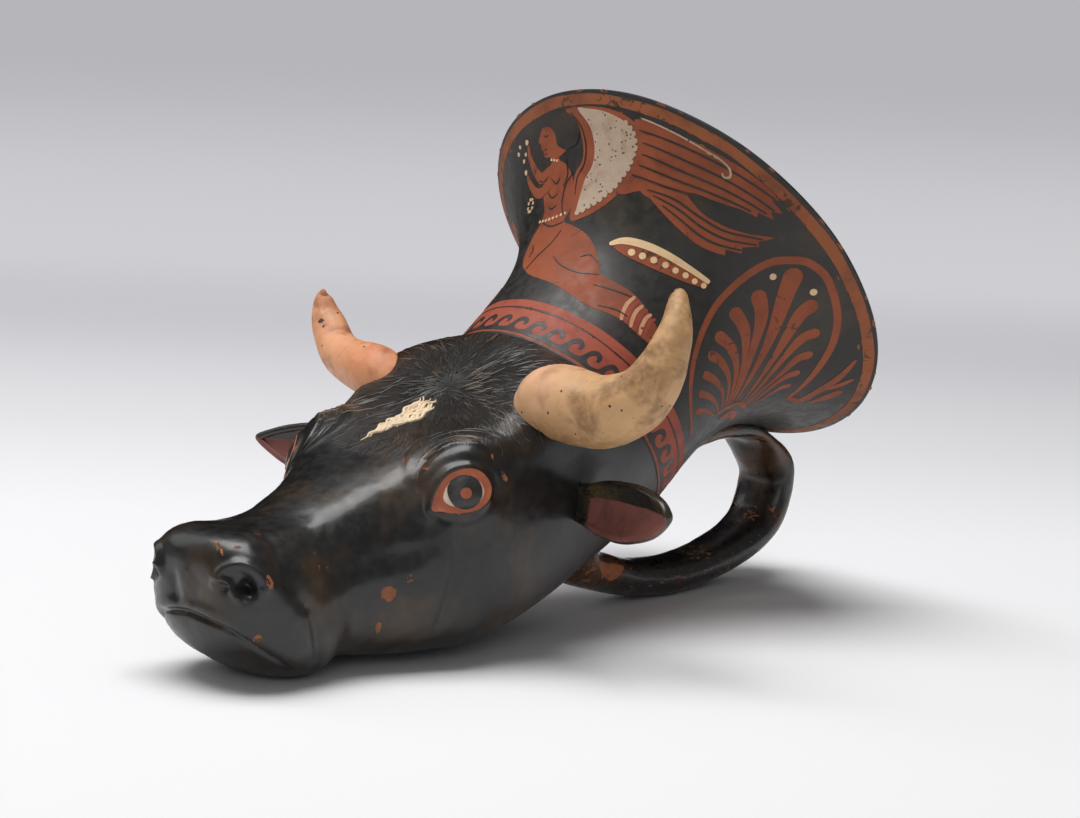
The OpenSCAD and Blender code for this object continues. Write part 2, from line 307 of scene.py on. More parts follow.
def cut_fine(piece, step_x, step_y):
    """Cuts a flat mesh along an even grid, so that it can be bent."""
    pick(piece)
    bpy.ops.object.mode_set(mode="EDIT")
    co = np.array([v.co[:2] for v in bmesh.from_edit_mesh(piece.data).verts])
    low, high = co.min(0), co.max(0)
    for axis, step in ((0, step_x), (1, step_y)):
        for line in np.arange(math.ceil(low[axis] / step), math.ceil(high[axis] / step)) * step:
            bpy.ops.mesh.select_all(action="SELECT")
            place = (line, 0, 0) if axis == 0 else (0, line, 0)
            normal = (1, 0, 0) if axis == 0 else (0, 1, 0)
            bpy.ops.mesh.bisect(plane_co=place, plane_no=normal, threshold=1e-5)
    bpy.ops.object.mode_set(mode="OBJECT")


def lay_slip(piece, laid, lift, depth):
    """Bends a flat mesh onto its surface, closes it into a thin coat and sinks its underside."""
    co = np.empty(len(piece.data.vertices) * 3, np.float32)
    piece.data.vertices.foreach_get("co", co)
    co = co.reshape(-1, 3).astype(float)
    layer = np.zeros(len(co), np.float32)
    piece.data.attributes["layer"].data.foreach_get("value", layer)
    piece.data.attributes.remove(piece.data.attributes["layer"])
    set_places(piece, laid(co[:, 0], co[:, 1], lift + 0.012 * layer))
    pick(piece)
    bpy.ops.object.mode_set(mode="EDIT")
    bpy.ops.mesh.select_all(action="SELECT")
    bpy.ops.mesh.remove_doubles(threshold=0.000004)
    bpy.ops.object.mode_set(mode="OBJECT")
    coat = piece.modifiers.new("Coat", "SOLIDIFY")
    coat.thickness = depth * MM
    coat.offset = -1
    bpy.ops.object.modifier_apply(modifier=coat.name)
    shade(piece, 50)


def slip_on_bowl(name, layers, lift, material, slot="bowl_glaze", depth=0.3):
    piece = flat_fill(name, layers)
    cut_fine(piece, 3.0, 2.0)
    lay_slip(piece, on_bowl, lift, depth)
    return finish_piece(piece, slot, material)


def bowl_scale(points):
    """Millimetres on the bowl for a degree of turn and for a step of s, at each (turn, s)."""
    s = np.asarray(points, float)[:, 1]
    slope = (flare(s + 0.01) - flare(s - 0.01)) / 0.02
    return np.stack([np.radians(1) * flare(s), np.sqrt(1 + slope ** 2)], 1)


def stroke(points, widths, scale=None, steps=6):
    """Outline of a brush stroke through the points, with its widths in mm along it and round ends."""
    points = refined(points, steps)
    n = len(points)
    widths = np.interp(np.linspace(0, 1, n), np.linspace(0, 1, len(widths)), widths)
    metric = scale(points) if scale else np.ones((n, 2))
    ahead = np.gradient(points, axis=0) * metric
    ahead /= np.maximum(np.linalg.norm(ahead, axis=1, keepdims=True), 1e-9)
    across = np.stack([-ahead[:, 1], ahead[:, 0]], 1)
    left = points + across * widths[:, None] / 2 / metric
    right = points - across * widths[:, None] / 2 / metric
    ends = []
    for k, side in ((n - 1, 1), (0, -1)):
        turns = np.radians(np.arange(30, 180, 30)) if widths[k] > 0.3 else []
        ends.append([points[k] + side * (across[k] * math.cos(a) + ahead[k] * math.sin(a))
            * widths[k] / 2 / metric[k] for a in turns])
    return np.array(list(left) + ends[0] + list(right[::-1]) + ends[1])


def closed_line(points, steps=5):
    """A smooth closed outline through the points."""
    points = np.asarray(points, float)
    n = len(points)
    looped = refined(np.concatenate([points[-2:], points, points[:3]]), steps)
    return looped[2 * steps:(n + 2) * steps]


def dot(centre, radius, scale=None, n=12):
    centre = np.asarray(centre, float)
    metric = scale(centre[None])[0] if scale else np.ones(2)
    a = np.arange(n) * 2 * math.pi / n
    return centre + np.stack([np.cos(a), np.sin(a)], 1) * radius / metric


# Finishes


def rgb(red, green, blue):
    """A colour for the shader from its screen values of 0 to 255."""
    return tuple((c / 255 / 12.92 if c / 255 <= 0.04045 else ((c / 255 + 0.055) / 1.055) ** 2.4)
        for c in (red, green, blue)) + (1.0,)


def add_node(tree, kind, **settings):
    node = tree.nodes.new(kind)
    for name, value in settings.items():
        setattr(node, name, value)
    return node


def feed(tree, source, *targets):
    for target in targets:
        tree.links.new(source, target)


def noise_node(tree, vector, scale, detail=3.0, roughness=0.55, stretch=None, distortion=0.0):
    """A noise texture's value, with its scale per metre."""
    if stretch:
        mapping = add_node(tree, "ShaderNodeMapping")
        mapping.inputs["Scale"].default_value = stretch
        feed(tree, vector, mapping.inputs["Vector"])
        vector = mapping.outputs["Vector"]
    node = add_node(tree, "ShaderNodeTexNoise")
    feed(tree, vector, node.inputs["Vector"])
    if isinstance(scale, (int, float)):
        node.inputs["Scale"].default_value = scale
    else:
        feed(tree, scale, node.inputs["Scale"])
    node.inputs["Detail"].default_value = detail
    node.inputs["Roughness"].default_value = roughness
    node.inputs["Distortion"].default_value = distortion
    return node.outputs["Fac"]


def ranged(tree, value, low, high, out_low=0.0, out_high=1.0):
    """The value between low and high, spread smoothly between the two others."""
    node = add_node(tree, "ShaderNodeMapRange", interpolation_type="SMOOTHSTEP")
    feed(tree, value, node.inputs["Value"])
    for name, limit in (("From Min", low), ("From Max", high), ("To Min", out_low), ("To Max", out_high)):
        if isinstance(limit, (int, float)):
            node.inputs[name].default_value = limit
        else:
            feed(tree, limit, node.inputs[name])
    return node.outputs["Result"]


def reckon(tree, operation, first, second=None):
    node = add_node(tree, "ShaderNodeMath", operation=operation)
    for k, value in enumerate((first, second)):
        if isinstance(value, (int, float)):
            node.inputs[k].default_value = value
        elif value is not None:
            feed(tree, value, node.inputs[k])
    return node.outputs["Value"]


def blended(tree, mask, first, second, kind="MIX"):
    """Two colours mixed by a mask."""
    node = add_node(tree, "ShaderNodeMix", data_type="RGBA", blend_type=kind)
    feed(tree, mask, node.inputs["Factor"])
    for name, colour in (("A", first), ("B", second)):
        socket = next(s for s in node.inputs if s.name == name and s.type == "RGBA")
        if isinstance(colour, tuple):
            socket.default_value = colour
        else:
            feed(tree, colour, socket)
    return next(s for s in node.outputs if s.type == "RGBA")


def new_group(name, inputs, outputs):
    """A new node group with the given sockets, and its input and output nodes."""
    tree = bpy.data.node_groups.new(name, "ShaderNodeTree")
    for label, kind, value in inputs:
        socket = tree.interface.new_socket(name=label, in_out="INPUT", socket_type=kind)
        if value is not None:
            socket.default_value = value
    for label, kind in outputs:
        tree.interface.new_socket(name=label, in_out="OUTPUT", socket_type=kind)
    return tree, add_node(tree, "NodeGroupInput"), add_node(tree, "NodeGroupOutput")


def kiln_mottle_group():
    """Soft patches where the kiln's fire has turned a glaze or slip, and finer cloud in them."""
    tree, given, result = new_group("Kiln Mottle", [
        ("Vector", "NodeSocketVector", None),
        ("Patch Scale", "NodeSocketFloat", 45.0),
        ("Patch Start", "NodeSocketFloat", 0.52),
        ("Patch Full", "NodeSocketFloat", 0.72),
    ], [("Patches", "NodeSocketFloat"), ("Cloud", "NodeSocketFloat")])
    wide = noise_node(tree, given.outputs["Vector"], given.outputs["Patch Scale"], 4, 0.62, distortion=0.4)
    feed(tree, ranged(tree, wide, given.outputs["Patch Start"], given.outputs["Patch Full"]),
        result.inputs["Patches"])
    fine = noise_node(tree, given.outputs["Vector"], 420.0, 4, 0.6)
    feed(tree, ranged(tree, fine, 0.3, 0.7), result.inputs["Cloud"])
    return tree


def flecks_group():
    """Sparse, ragged flecks where a coat has come off, grouped by a wider noise."""
    tree, given, result = new_group("Flaked Coat", [
        ("Vector", "NodeSocketVector", None),
        ("Fleck Scale", "NodeSocketFloat", 600.0),
        ("Threshold", "NodeSocketFloat", 0.7),
        ("Grouping", "NodeSocketFloat", 0.5),
    ], [("Flecks", "NodeSocketFloat")])
    small = noise_node(tree, given.outputs["Vector"], given.outputs["Fleck Scale"], 3, 0.6, distortion=0.8)
    wide = noise_node(tree, given.outputs["Vector"], 70.0, 2, 0.5)
    pushed = reckon(tree, "ADD", small, reckon(tree, "MULTIPLY",
        reckon(tree, "SUBTRACT", wide, 0.5), given.outputs["Grouping"]))
    feed(tree, ranged(tree, pushed, given.outputs["Threshold"],
        reckon(tree, "ADD", given.outputs["Threshold"], 0.035)), result.inputs["Flecks"])
    return tree


def pinholes_group():
    """Small round pits, as bubbles in a slip leave."""
    tree, given, result = new_group("Pin Holes", [
        ("Vector", "NodeSocketVector", None),
        ("Spacing", "NodeSocketFloat", 300.0),
        ("Size", "NodeSocketFloat", 0.16),
        ("Share", "NodeSocketFloat", 0.5),
    ], [("Holes", "NodeSocketFloat")])
    cells = add_node(tree, "ShaderNodeTexVoronoi")
    feed(tree, given.outputs["Vector"], cells.inputs["Vector"])
    feed(tree, given.outputs["Spacing"], cells.inputs["Scale"])
    round_pit = ranged(tree, cells.outputs["Distance"], given.outputs["Size"],
        reckon(tree, "MULTIPLY", given.outputs["Size"], 0.6))
    split = add_node(tree, "ShaderNodeSeparateColor")
    feed(tree, cells.outputs["Color"], split.inputs["Color"])
    kept = reckon(tree, "LESS_THAN", split.outputs["Red"], given.outputs["Share"])
    feed(tree, reckon(tree, "MULTIPLY", round_pit, kept), result.inputs["Holes"])
    return tree


def brushed_group():
    """Fine relief of a coat laid on with a brush: streaks along one way, over a faint grain."""
    tree, given, result = new_group("Brushed Relief", [
        ("Vector", "NodeSocketVector", None),
        ("Grain", "NodeSocketFloat", 0.4),
    ], [("Height", "NodeSocketFloat")])
    streaks = noise_node(tree, given.outputs["Vector"], 120.0, 3, 0.5, stretch=(1.0, 0.25, 1.0))
    grain = noise_node(tree, given.outputs["Vector"], 900.0, 2, 0.6)
    feed(tree, reckon(tree, "ADD", streaks, reckon(tree, "MULTIPLY", grain, given.outputs["Grain"])),
        result.inputs["Height"])
    return tree


GROUPS = {}


def use_group(tree, name, vector, **values):
    """Places a shared node group in a material, with its own values."""
    if name not in GROUPS:
        GROUPS[name] = {"Kiln Mottle": kiln_mottle_group, "Flaked Coat": flecks_group,
            "Pin Holes": pinholes_group, "Brushed Relief": brushed_group}[name]()
    node = add_node(tree, "ShaderNodeGroup", node_tree=GROUPS[name])
    feed(tree, vector, node.inputs["Vector"])
    for label, value in values.items():
        node.inputs[label.replace("_", " ")].default_value = value
    return node


def open_material(name):
    """A new material's node tree, its Principled shader and the piece's own coordinates."""
    material = bpy.data.materials.new(name)
    material.use_nodes = True
    tree = material.node_tree
    tree.nodes.clear()
    shader = add_node(tree, "ShaderNodeBsdfPrincipled")
    feed(tree, shader.outputs["BSDF"], add_node(tree, "ShaderNodeOutputMaterial").inputs["Surface"])
    where = add_node(tree, "ShaderNodeTexCoord").outputs["Object"]
    return material, tree, shader, where


def set_bump(tree, shader, height, depth_mm, strength=1.0):
    bump = add_node(tree, "ShaderNodeBump")
    bump.inputs["Strength"].default_value = strength
    bump.inputs["Distance"].default_value = depth_mm * MM
    feed(tree, height, bump.inputs["Height"])
    feed(tree, bump.outputs["Normal"], shader.inputs["Normal"])


def black_gloss(name, black, brown, clay, start=0.52, full=0.74, flecks=0.74, grouping=0.5,
        rough=(0.26, 0.4), coat=0.25, fleck_scale=600.0, combed=False, relief=0.05):
    """Fired black gloss with olive or brown patches where it is thin, and flakes down to the clay."""
    material, tree, shader, where = open_material(name)
    mottle = use_group(tree, "Kiln Mottle", where, Patch_Start=start, Patch_Full=full)
    flaked = use_group(tree, "Flaked Coat", where, Fleck_Scale=fleck_scale, Threshold=flecks,
        Grouping=grouping)
    relief_node = use_group(tree, "Brushed Relief", where, Grain=0.35)
    dark = tuple(0.55 * c for c in black[:3]) + (1.0,)
    tone = blended(tree, mottle.outputs["Cloud"], dark, black)
    tone = blended(tree, mottle.outputs["Patches"], tone, brown)
    height = relief_node.outputs["Height"]
    if combed:
        comb = add_node(tree, "ShaderNodeAttribute", attribute_type="GEOMETRY", attribute_name="comb")
        amount = add_node(tree, "ShaderNodeAttribute", attribute_type="GEOMETRY", attribute_name="combed")
        hair = noise_node(tree, comb.outputs["Vector"], 1.0, 3, 0.6, stretch=(0.22, 2.2, 1.0))
        ridges = reckon(tree, "MULTIPLY", ranged(tree, hair, 0.42, 0.66), amount.outputs["Fac"])
        tone = blended(tree, reckon(tree, "MULTIPLY", ridges, 0.45), tone, brown)
        height = reckon(tree, "ADD", height, reckon(tree, "MULTIPLY", ridges, 5.0))
    tone = blended(tree, flaked.outputs["Flecks"], tone, clay)
    feed(tree, tone, shader.inputs["Base Color"])
    wear = ranged(tree, mottle.outputs["Cloud"], 0.0, 1.0, rough[0], rough[1])
    feed(tree, reckon(tree, "ADD", wear, reckon(tree, "MULTIPLY", flaked.outputs["Flecks"], 0.3)),
        shader.inputs["Roughness"])
    gloss = reckon(tree, "SUBTRACT", coat, reckon(tree, "MULTIPLY", flaked.outputs["Flecks"], coat))
    feed(tree, gloss, shader.inputs["Coat Weight"])
    shader.inputs["Coat Roughness"].default_value = 0.12
    height = reckon(tree, "SUBTRACT", height, reckon(tree, "MULTIPLY", flaked.outputs["Flecks"], 1.4))
    set_bump(tree, shader, height, relief)
    return material


def bare_clay(name, clay, deep, smudge, rough=(0.5, 0.7), smudges=0.69, relief=0.04):
    """Reserved clay under a thin shine, deeper in patches and smudged with gloss here and there."""
    material, tree, shader, where = open_material(name)
    mottle = use_group(tree, "Kiln Mottle", where, Patch_Scale=85.0, Patch_Start=0.42, Patch_Full=0.66)
    dirt = use_group(tree, "Flaked Coat", where, Fleck_Scale=480.0, Threshold=smudges, Grouping=0.6)
    relief_node = use_group(tree, "Brushed Relief", where, Grain=0.8)
    tone = blended(tree, mottle.outputs["Patches"], clay, deep)
    lighter = tuple(min(1.0, 1.22 * c) for c in clay[:3]) + (1.0,)
    tone = blended(tree, reckon(tree, "MULTIPLY", mottle.outputs["Cloud"], 0.35), tone, lighter)
    tone = blended(tree, reckon(tree, "MULTIPLY", dirt.outputs["Flecks"], 0.8), tone, smudge)
    feed(tree, tone, shader.inputs["Base Color"])
    shader.inputs["Specular IOR Level"].default_value = 0.35
    feed(tree, ranged(tree, mottle.outputs["Cloud"], 0.0, 1.0, rough[0], rough[1]), shader.inputs["Roughness"])
    set_bump(tree, shader, relief_node.outputs["Height"], relief)
    return material


def pitted_slip(name, slip, stain, hole, stain_start=0.5, holes=0.4, spacing=330.0, size=0.2,
        rough=(0.5, 0.7), relief=0.12, warm=None, coat=0.0):
    """Thick pale slip with stains, pin-holes and a chalky grain."""
    material, tree, shader, where = open_material(name)
    mottle = use_group(tree, "Kiln Mottle", where, Patch_Scale=110.0, Patch_Start=stain_start,
        Patch_Full=stain_start + 0.2)
    pits = use_group(tree, "Pin Holes", where, Spacing=spacing, Size=size, Share=holes)
    relief_node = use_group(tree, "Brushed Relief", where, Grain=1.0)
    tone = blended(tree, mottle.outputs["Patches"], slip, stain)
    if warm:
        root = add_node(tree, "ShaderNodeAttribute", attribute_type="GEOMETRY", attribute_name="root")
        tone = blended(tree, root.outputs["Fac"], tone, warm)
        tip = add_node(tree, "ShaderNodeAttribute", attribute_type="GEOMETRY", attribute_name="tip")
        streaks = noise_node(tree, where, 230.0, 4, 0.6)
        tone = blended(tree, reckon(tree, "MULTIPLY", tip.outputs["Fac"], ranged(tree, streaks, 0.34, 0.6)),
            tone, stain)
        worn = ranged(tree, noise_node(tree, where, 420.0, 5, 0.65), 0.56, 0.7)
        tone = blended(tree, reckon(tree, "MULTIPLY", worn, 0.16), tone, hole)
        # Darker towards the stain colour on the horn's underside, set by height alone
        under = add_node(tree, "ShaderNodeAttribute", attribute_type="GEOMETRY", attribute_name="under")
        tone = blended(tree, reckon(tree, "MULTIPLY", under.outputs["Fac"], 0.7), tone, stain)
    paler = tuple(min(1.0, 1.25 * c) for c in slip[:3]) + (1.0,)
    tone = blended(tree, reckon(tree, "MULTIPLY", mottle.outputs["Cloud"], 0.4), tone, paler)
    tone = blended(tree, pits.outputs["Holes"], tone, hole)
    feed(tree, tone, shader.inputs["Base Color"])
    feed(tree, ranged(tree, mottle.outputs["Cloud"], 0.0, 1.0, rough[0], rough[1]), shader.inputs["Roughness"])
    if coat:
        shader.inputs["Coat Weight"].default_value = coat
        shader.inputs["Coat Roughness"].default_value = 0.3
    height = reckon(tree, "SUBTRACT", relief_node.outputs["Height"],
        reckon(tree, "MULTIPLY", pits.outputs["Holes"], 2.0))
    set_bump(tree, shader, height, relief)
    return material


# Head


def head_rows(steps):
    """The head's stations in millimetres, the neck joint's circle the last of them."""
    rows = [[MUZZLE_Y + f[0] * HEAD_L, f[1] * NECK_H, MUZZLE_Y + f[2] * HEAD_L, f[3] * NECK_H,
        f[4] * HEAD_W / 2, f[5], f[6], f[7]] for f in STATIONS]
    top = NECK + TOP * NECK_R
    low = NECK - TOP * NECK_R
    rows.append([top[1], top[2], low[1], low[2], NECK_R, 2, 2, 0.5])
    return refined(rows, steps)


def mirrored_ring(half):
    """A whole ring from its left half, which runs from the crown to the jaw."""
    return np.concatenate([half, half[-2:0:-1] * [-1, 1, 1]])


def head_ring(row, count, wall=0.0):
    """count points round the head at a station, under a wall of the given thickness."""
    top = np.array([0.0, row[0], row[1]])
    low = np.array([0.0, row[2], row[3]])
    way = (top - low) / np.linalg.norm(top - low)
    middle = mix(low, top, row[7])
    t = (1 - np.cos(np.linspace(0, math.pi, 600))) / 2
    s = np.sin(math.pi * t)
    c = np.cos(math.pi * t)
    box = np.where(t < 0.5, row[5], row[6])
    out = s ** (2 / box)
    up = np.sign(c) * np.abs(c) ** (2 / box)
    reach = np.where(up > 0, np.linalg.norm(top - middle), np.linalg.norm(middle - low)) - wall
    half = evened(middle + np.outer(reach * up, way) + np.outer((row[4] - wall) * out, SIDE), count // 2 + 1)
    half[[0, -1], 0] = 0
    if not wall:
        away = half - middle
        lift = np.zeros(len(half))
        for place, radius, height in SWELLS:
            d = np.linalg.norm(half - place, axis=1) / radius
            lift += np.where(d < 2.2, height * np.exp(-d * d), 0)
        lift *= np.minimum(1, half[:, 0] / row[4] * 4)
        half = half + away / np.linalg.norm(away, axis=1, keepdims=True) * lift[:, None]
    return mirrored_ring(half)


def neck_circle(s, r, count):
    turn = np.radians(np.linspace(0, 180, count // 2 + 1))
    half = NECK + AXIS * s + np.outer(r * np.cos(turn), TOP) + np.outer(r * np.sin(turn), SIDE)
    return mirrored_ring(half)


# The eye's own drawing plane, and its outlines there: [backward, up] from the iris
EYE = np.array([28.1, -46.9, 41.1])
EYE_BACK = np.array([0.42, 0.907, 0.0])
LID_OUTER = [(-7.3, -3.4), (-6.0, 0.7), (-3.3, 4.2), (0.6, 5.7), (4.2, 4.8), (6.9, 1.6), (5.8, -1.9),
    (2.5, -3.9), (-1.7, -4.4), (-5.1, -4.0)]
LID_INNER = [(-4.7, -1.1), (-3.9, 1.6), (-2.1, 3.4), (0.4, 4.0), (3.1, 3.1), (4.7, 0.6), (3.8, -1.7),
    (1.5, -2.8), (-1.4, -3.0), (-3.7, -2.4)]

# Lines that the modeller pressed or raised on the left half, in millimetres
BROW_LOW = [(20.5, -54.2, 41.5), (19.0, -52.8, 44.6), (19.1, -49.1, 48.2), (21.5, -45.2, 51.1),
    (25.0, -41.5, 51.5), (27.4, -38.2, 50.1), (29.1, -35.7, 46.6), (29.9, -34.7, 43.8)]
BROW_HIGH = [(16.8, -54.5, 43.9), (14.2, -50.9, 47.7), (13.5, -45.8, 50.6), (16.2, -40.6, 52.8),
    (20.8, -37.2, 53.7), (25.6, -33.9, 52.6), (29.1, -31.7, 49.7), (30.7, -29.8, 45.1)]
MOUTH = [(0.0, -104.2, 16.9), (3.2, -104.0, 16.6), (6.3, -103.4, 16.0), (10.7, -101.5, 14.4),
    (13.3, -97.9, 11.5), (14.4, -92.2, 7.6), (15.1, -86.8, 4.7)]
UPPER_LIP = [(0.0, -104.3, 18.6), (3.2, -104.0, 18.2), (6.3, -103.4, 17.8), (11.2, -101.5, 16.6),
    (14.3, -97.9, 13.8), (15.9, -92.2, 9.8), (16.4, -87.2, 6.6)]
LIP_CORNER = [(19.7, -86.4, 19.4), (19.8, -84.9, 17.5), (19.8, -84.0, 14.6), (19.4, -82.8, 11.0),
    (18.5, -81.5, 7.9), (16.5, -80.5, 4.5)]
MUZZLE_BACK = [(10.0, -90.5, 33.5), (14.9, -92.0, 30.4), (17.8, -92.4, 26.5), (18.9, -89.6, 23.0),
    (19.7, -86.4, 19.4)]
CHEEK = [(27.1, -49.9, 36.4), (27.4, -49.5, 31.3), (27.6, -49.0, 24.4), (27.1, -49.4, 18.6),
    (26.1, -50.1, 13.9), (23.9, -50.9, 9.0)]
CHEEK_FRONT = [(19.5, -84.0, 21.7), (18.4, -75.3, 24.6), (20.0, -65.5, 26.6), (23.0, -58.4, 27.8),
    (25.8, -53.2, 29.9)]
NOSE_EDGE = [(10.5, -96.0, 33.5), (11.5, -86.0, 34.6), (12.5, -76.0, 37.2), (14.0, -66.0, 41.0),
    (16.5, -57.0, 45.0)]
NOSTRIL_RIM = [(8.8, -104.0, 24.6), (9.6, -103.7, 26.6), (11.2, -102.8, 28.2), (13.6, -101.2, 29.0),
    (16.7, -98.9, 27.7), (18.1, -97.4, 25.0), (17.4, -98.6, 22.0)]
NOSTRIL_FOLD = [(10.2, -103.6, 25.8), (11.7, -102.9, 25.2), (12.6, -102.4, 23.6), (13.9, -101.7, 21.4)]
FOREHEAD = [(0.0, -52.0, 49.0), (0.0, -42.0, 52.5), (0.0, -33.0, 56.0)]

# Each mark as line, half width and height: a groove is below nothing
MARKS = [
    (MOUTH, 0.8, -1.1), (UPPER_LIP, 1.8, 0.6), (LIP_CORNER, 1.7, -0.8), (MUZZLE_BACK, 2.6, -0.7),
    (CHEEK, 1.3, -0.8), ([(p[0], p[1] + 2.6, p[2]) for p in CHEEK], 2.0, 0.5), (CHEEK_FRONT, 3.0, -0.5),
    (NOSE_EDGE, 3.5, 0.7), ([(15.3, -100.4, 25.0)], 3.7, -2.0), (NOSTRIL_RIM, 1.3, 1.1),
    (NOSTRIL_FOLD, 0.8, 1.3), ([(15.9, -100.1, 23.6), (14.6, -101.2, 24.4)], 1.4, -2.0),
    ([(11.2, -103.2, 24.2)], 1.2, -0.7), ([(4.0, -104.2, 24.0), (2.2, -104.5, 20.0)], 1.8, -0.5),
    (FOREHEAD, 5.0, -0.6), ([(21.0, -63.0, 19.0)], 1.2, -0.2),
    ([(30.5, -13.5, 36.0), (31.0, -11.0, 38.5)], 6.5, 1.4), ([(24.0, -56.5, 36.0)], 4.0, -0.6),
    ([(27.5, -36.5, 38.5), (29.5, -39.0, 42.5)], 2.2, -0.5),
]

WHORL = np.array([0.0, -24.0, 61.0])
WHORL_BACK = np.array([0.0, 0.893, 0.45])
WHORL_OUT = np.array([0.0, -0.45, 0.893])


def eye_line(outline, grow=0.0):
    """A closed outline of the eye's drawing as places beside the head."""
    flat = closed_line(outline, 4)
    flat = flat + flat / np.linalg.norm(flat, axis=1, keepdims=True) * grow
    flat = np.concatenate([flat, flat[:1]])
    return EYE + np.outer(flat[:, 0], EYE_BACK) + np.outer(flat[:, 1], [0, 0, 1])


def on_head(surface, side=1):
    """Lays the eye's drawing on the head: side is 1 for the left eye and -1 for the right."""
    outward = np.array([0.895, -0.415, 0.16]) * [side, 1, 1]

    def laid(x, y, lift):
        lift = np.broadcast_to(lift, x.shape)
        out = []
        for back, up, away in zip(x, y, lift):
            place = (EYE + EYE_BACK * back + np.array([0, 0, up])) * [side, 1, 1] + outward * 12
            near, normal, _, _ = surface.ray_cast(Vector(place) * MM, Vector(-outward))
            out.append(np.array(near) / MM + np.array(normal) * away)
        return np.array(out)
    return laid


def beside(surface, centre, lean=0.0):
    """Lays a small drawing on the head round a place, turned by lean."""
    near, normal, _, _ = surface.find_nearest(Vector(centre) * MM)
    normal = np.array(normal)
    across = np.cross([0, 0, 1.0], normal)
    across /= np.linalg.norm(across)
    up = np.cross(normal, across)

    def laid(x, y, lift):
        lift = np.broadcast_to(lift, x.shape)
        out = []
        for a, b, away in zip(x, y, lift):
            a, b = a * math.cos(lean) - b * math.sin(lean), a * math.sin(lean) + b * math.cos(lean)
            place, way, _, _ = surface.find_nearest(Vector(np.array(centre) + across * a + up * b) * MM)
            out.append(np.array(place) / MM + np.array(way) * away)
        return np.array(out)
    return laid


def model_head(settings):
    """The head's skin and hollow, drawn out from the muzzle, with its features worked on it."""
    count = 152
    outer = [head_ring(row, count) for row in head_rows(9)]
    middle = outer[0].mean(0)
    nose = [middle + (outer[0] - middle) * k - [0, 0.5 * (1 - k * k), 0] for k in (0.06, 0.35, 0.7)]
    outer.insert(-1, mix(outer[-1], outer[-2], 0.2))
    inner = []
    for row in head_rows(9)[22::4]:
        ring = head_ring(row, count, HEAD_WALL)
        if ((ring - NECK) @ AXIS).max() < -SPIGOT_L - 0.4:
            inner.append(ring)
    joint = [neck_circle(0, NECK_R - 0.4, count), neck_circle(0, SPIGOT_R + 0.25, count),
        neck_circle(-SPIGOT_L - 0.2, SPIGOT_R + 0.2, count)]
    piece = draw_out("moulded_head", nose + outer + joint + inner[::-1])
    subdivide(piece, 1)
    points = places(piece)
    points[:, 2] = np.maximum(points[:, 2], 0)
    set_places(piece, points)
    normals = directions(piece)
    hub = np.stack([np.zeros(len(points)), points[:, 1], np.full(len(points), 26.0)], 1)
    skin = ((points - hub) * normals).sum(1) > 0
    left = points * [1, 1, 1]
    left[:, 0] = np.abs(left[:, 0])
    lift = np.zeros(len(points))
    for line, width, height in MARKS:
        line = refined(line, 4) if len(line) > 2 else line
        away, share = near_line(left, line)
        fade = np.minimum(1, 6 * np.minimum(share + 0.12, 1.06 - share)) if len(line) > 2 else 1.0
        lift += height * np.exp(-(away / width) ** 2) * fade
    for k in range(5):
        low = evened(refined(BROW_LOW, 4), 40)
        high = evened(refined(BROW_HIGH, 4), 40)
        away, share = near_line(left, mix(low, high, k / 4))
        taper = np.sin(math.pi * np.clip(share * 0.94 + 0.03, 0, 1)) ** 0.5
        lift += (0.62 - 0.05 * k) * settings.brow_relief * np.exp(-(away / 0.5) ** 2) * taper
    for grow, width, height in ((0.3, 0.7, 0.35), (1.7, 0.9, -0.25), (-1.6, 0.7, -0.25)):
        rim = eye_line(LID_OUTER, grow)
        rim = np.array([np.array(p) for p in rim])
        surface_gap = np.abs((left - EYE) @ np.array([0.907, -0.42, 0]))
        flat = np.stack([(left - EYE) @ EYE_BACK, left[:, 2] - EYE[2]], 1)
        flat_rim = np.stack([(rim - EYE) @ EYE_BACK, rim[:, 2] - EYE[2]], 1)
        away, _ = near_line(flat, flat_rim)
        lift += np.where(surface_gap < 8, height * np.exp(-(away / width) ** 2), 0)
    near_eye = np.linalg.norm(left - EYE, axis=1)
    lift += 0.7 * np.exp(-(near_eye / 4.2) ** 2)
    lift += 0.16 * settings.unevenness * rumple(points, 9.0, 3) + 0.05 * rumple(points, 2.6, 4)
    rear = np.clip(-((points - NECK) @ AXIS) / 3.0, 0, 1)
    points = points + normals * (np.where(skin, lift, 0) * rear)[:, None]
    points[:, 2] = np.maximum(points[:, 2], 0)
    set_places(piece, points)
    comb_hair(piece, points, left)
    shade(piece, 50)
    return piece


def comb_hair(piece, points, left):
    """Stores on the head which way its hair lies and how thick it is, for the hair's fine relief."""
    from_whorl = points - WHORL
    reach = np.linalg.norm(from_whorl, axis=1)
    back = from_whorl @ WHORL_BACK
    around = np.arctan2(points[:, 0], -back)
    comb = np.zeros((len(points), 3), np.float32)
    comb[:, 0] = reach
    comb[:, 1] = (around + 0.012 * reach) * 22
    thick = np.clip((34 - reach) / 9, 0, 1) * np.clip((points[:, 2] - 43) / 5, 0, 1)
    thick *= np.clip((reach - 3.0) / 5, 0, 1)
    thick *= np.clip((near_line(left, BROW_HIGH)[0] - 1.0) / 2, 0, 1)
    layer = piece.data.attributes.new("comb", "FLOAT_VECTOR", "POINT")
    layer.data.foreach_set("vector", comb.ravel())
    layer = piece.data.attributes.new("combed", "FLOAT", "POINT")
    layer.data.foreach_set("value", thick.astype(np.float32))


def surface_of(piece):
    return BVHTree.FromPolygons([v.co[:] for v in piece.data.vertices],
        [p.vertices[:] for p in piece.data.polygons])


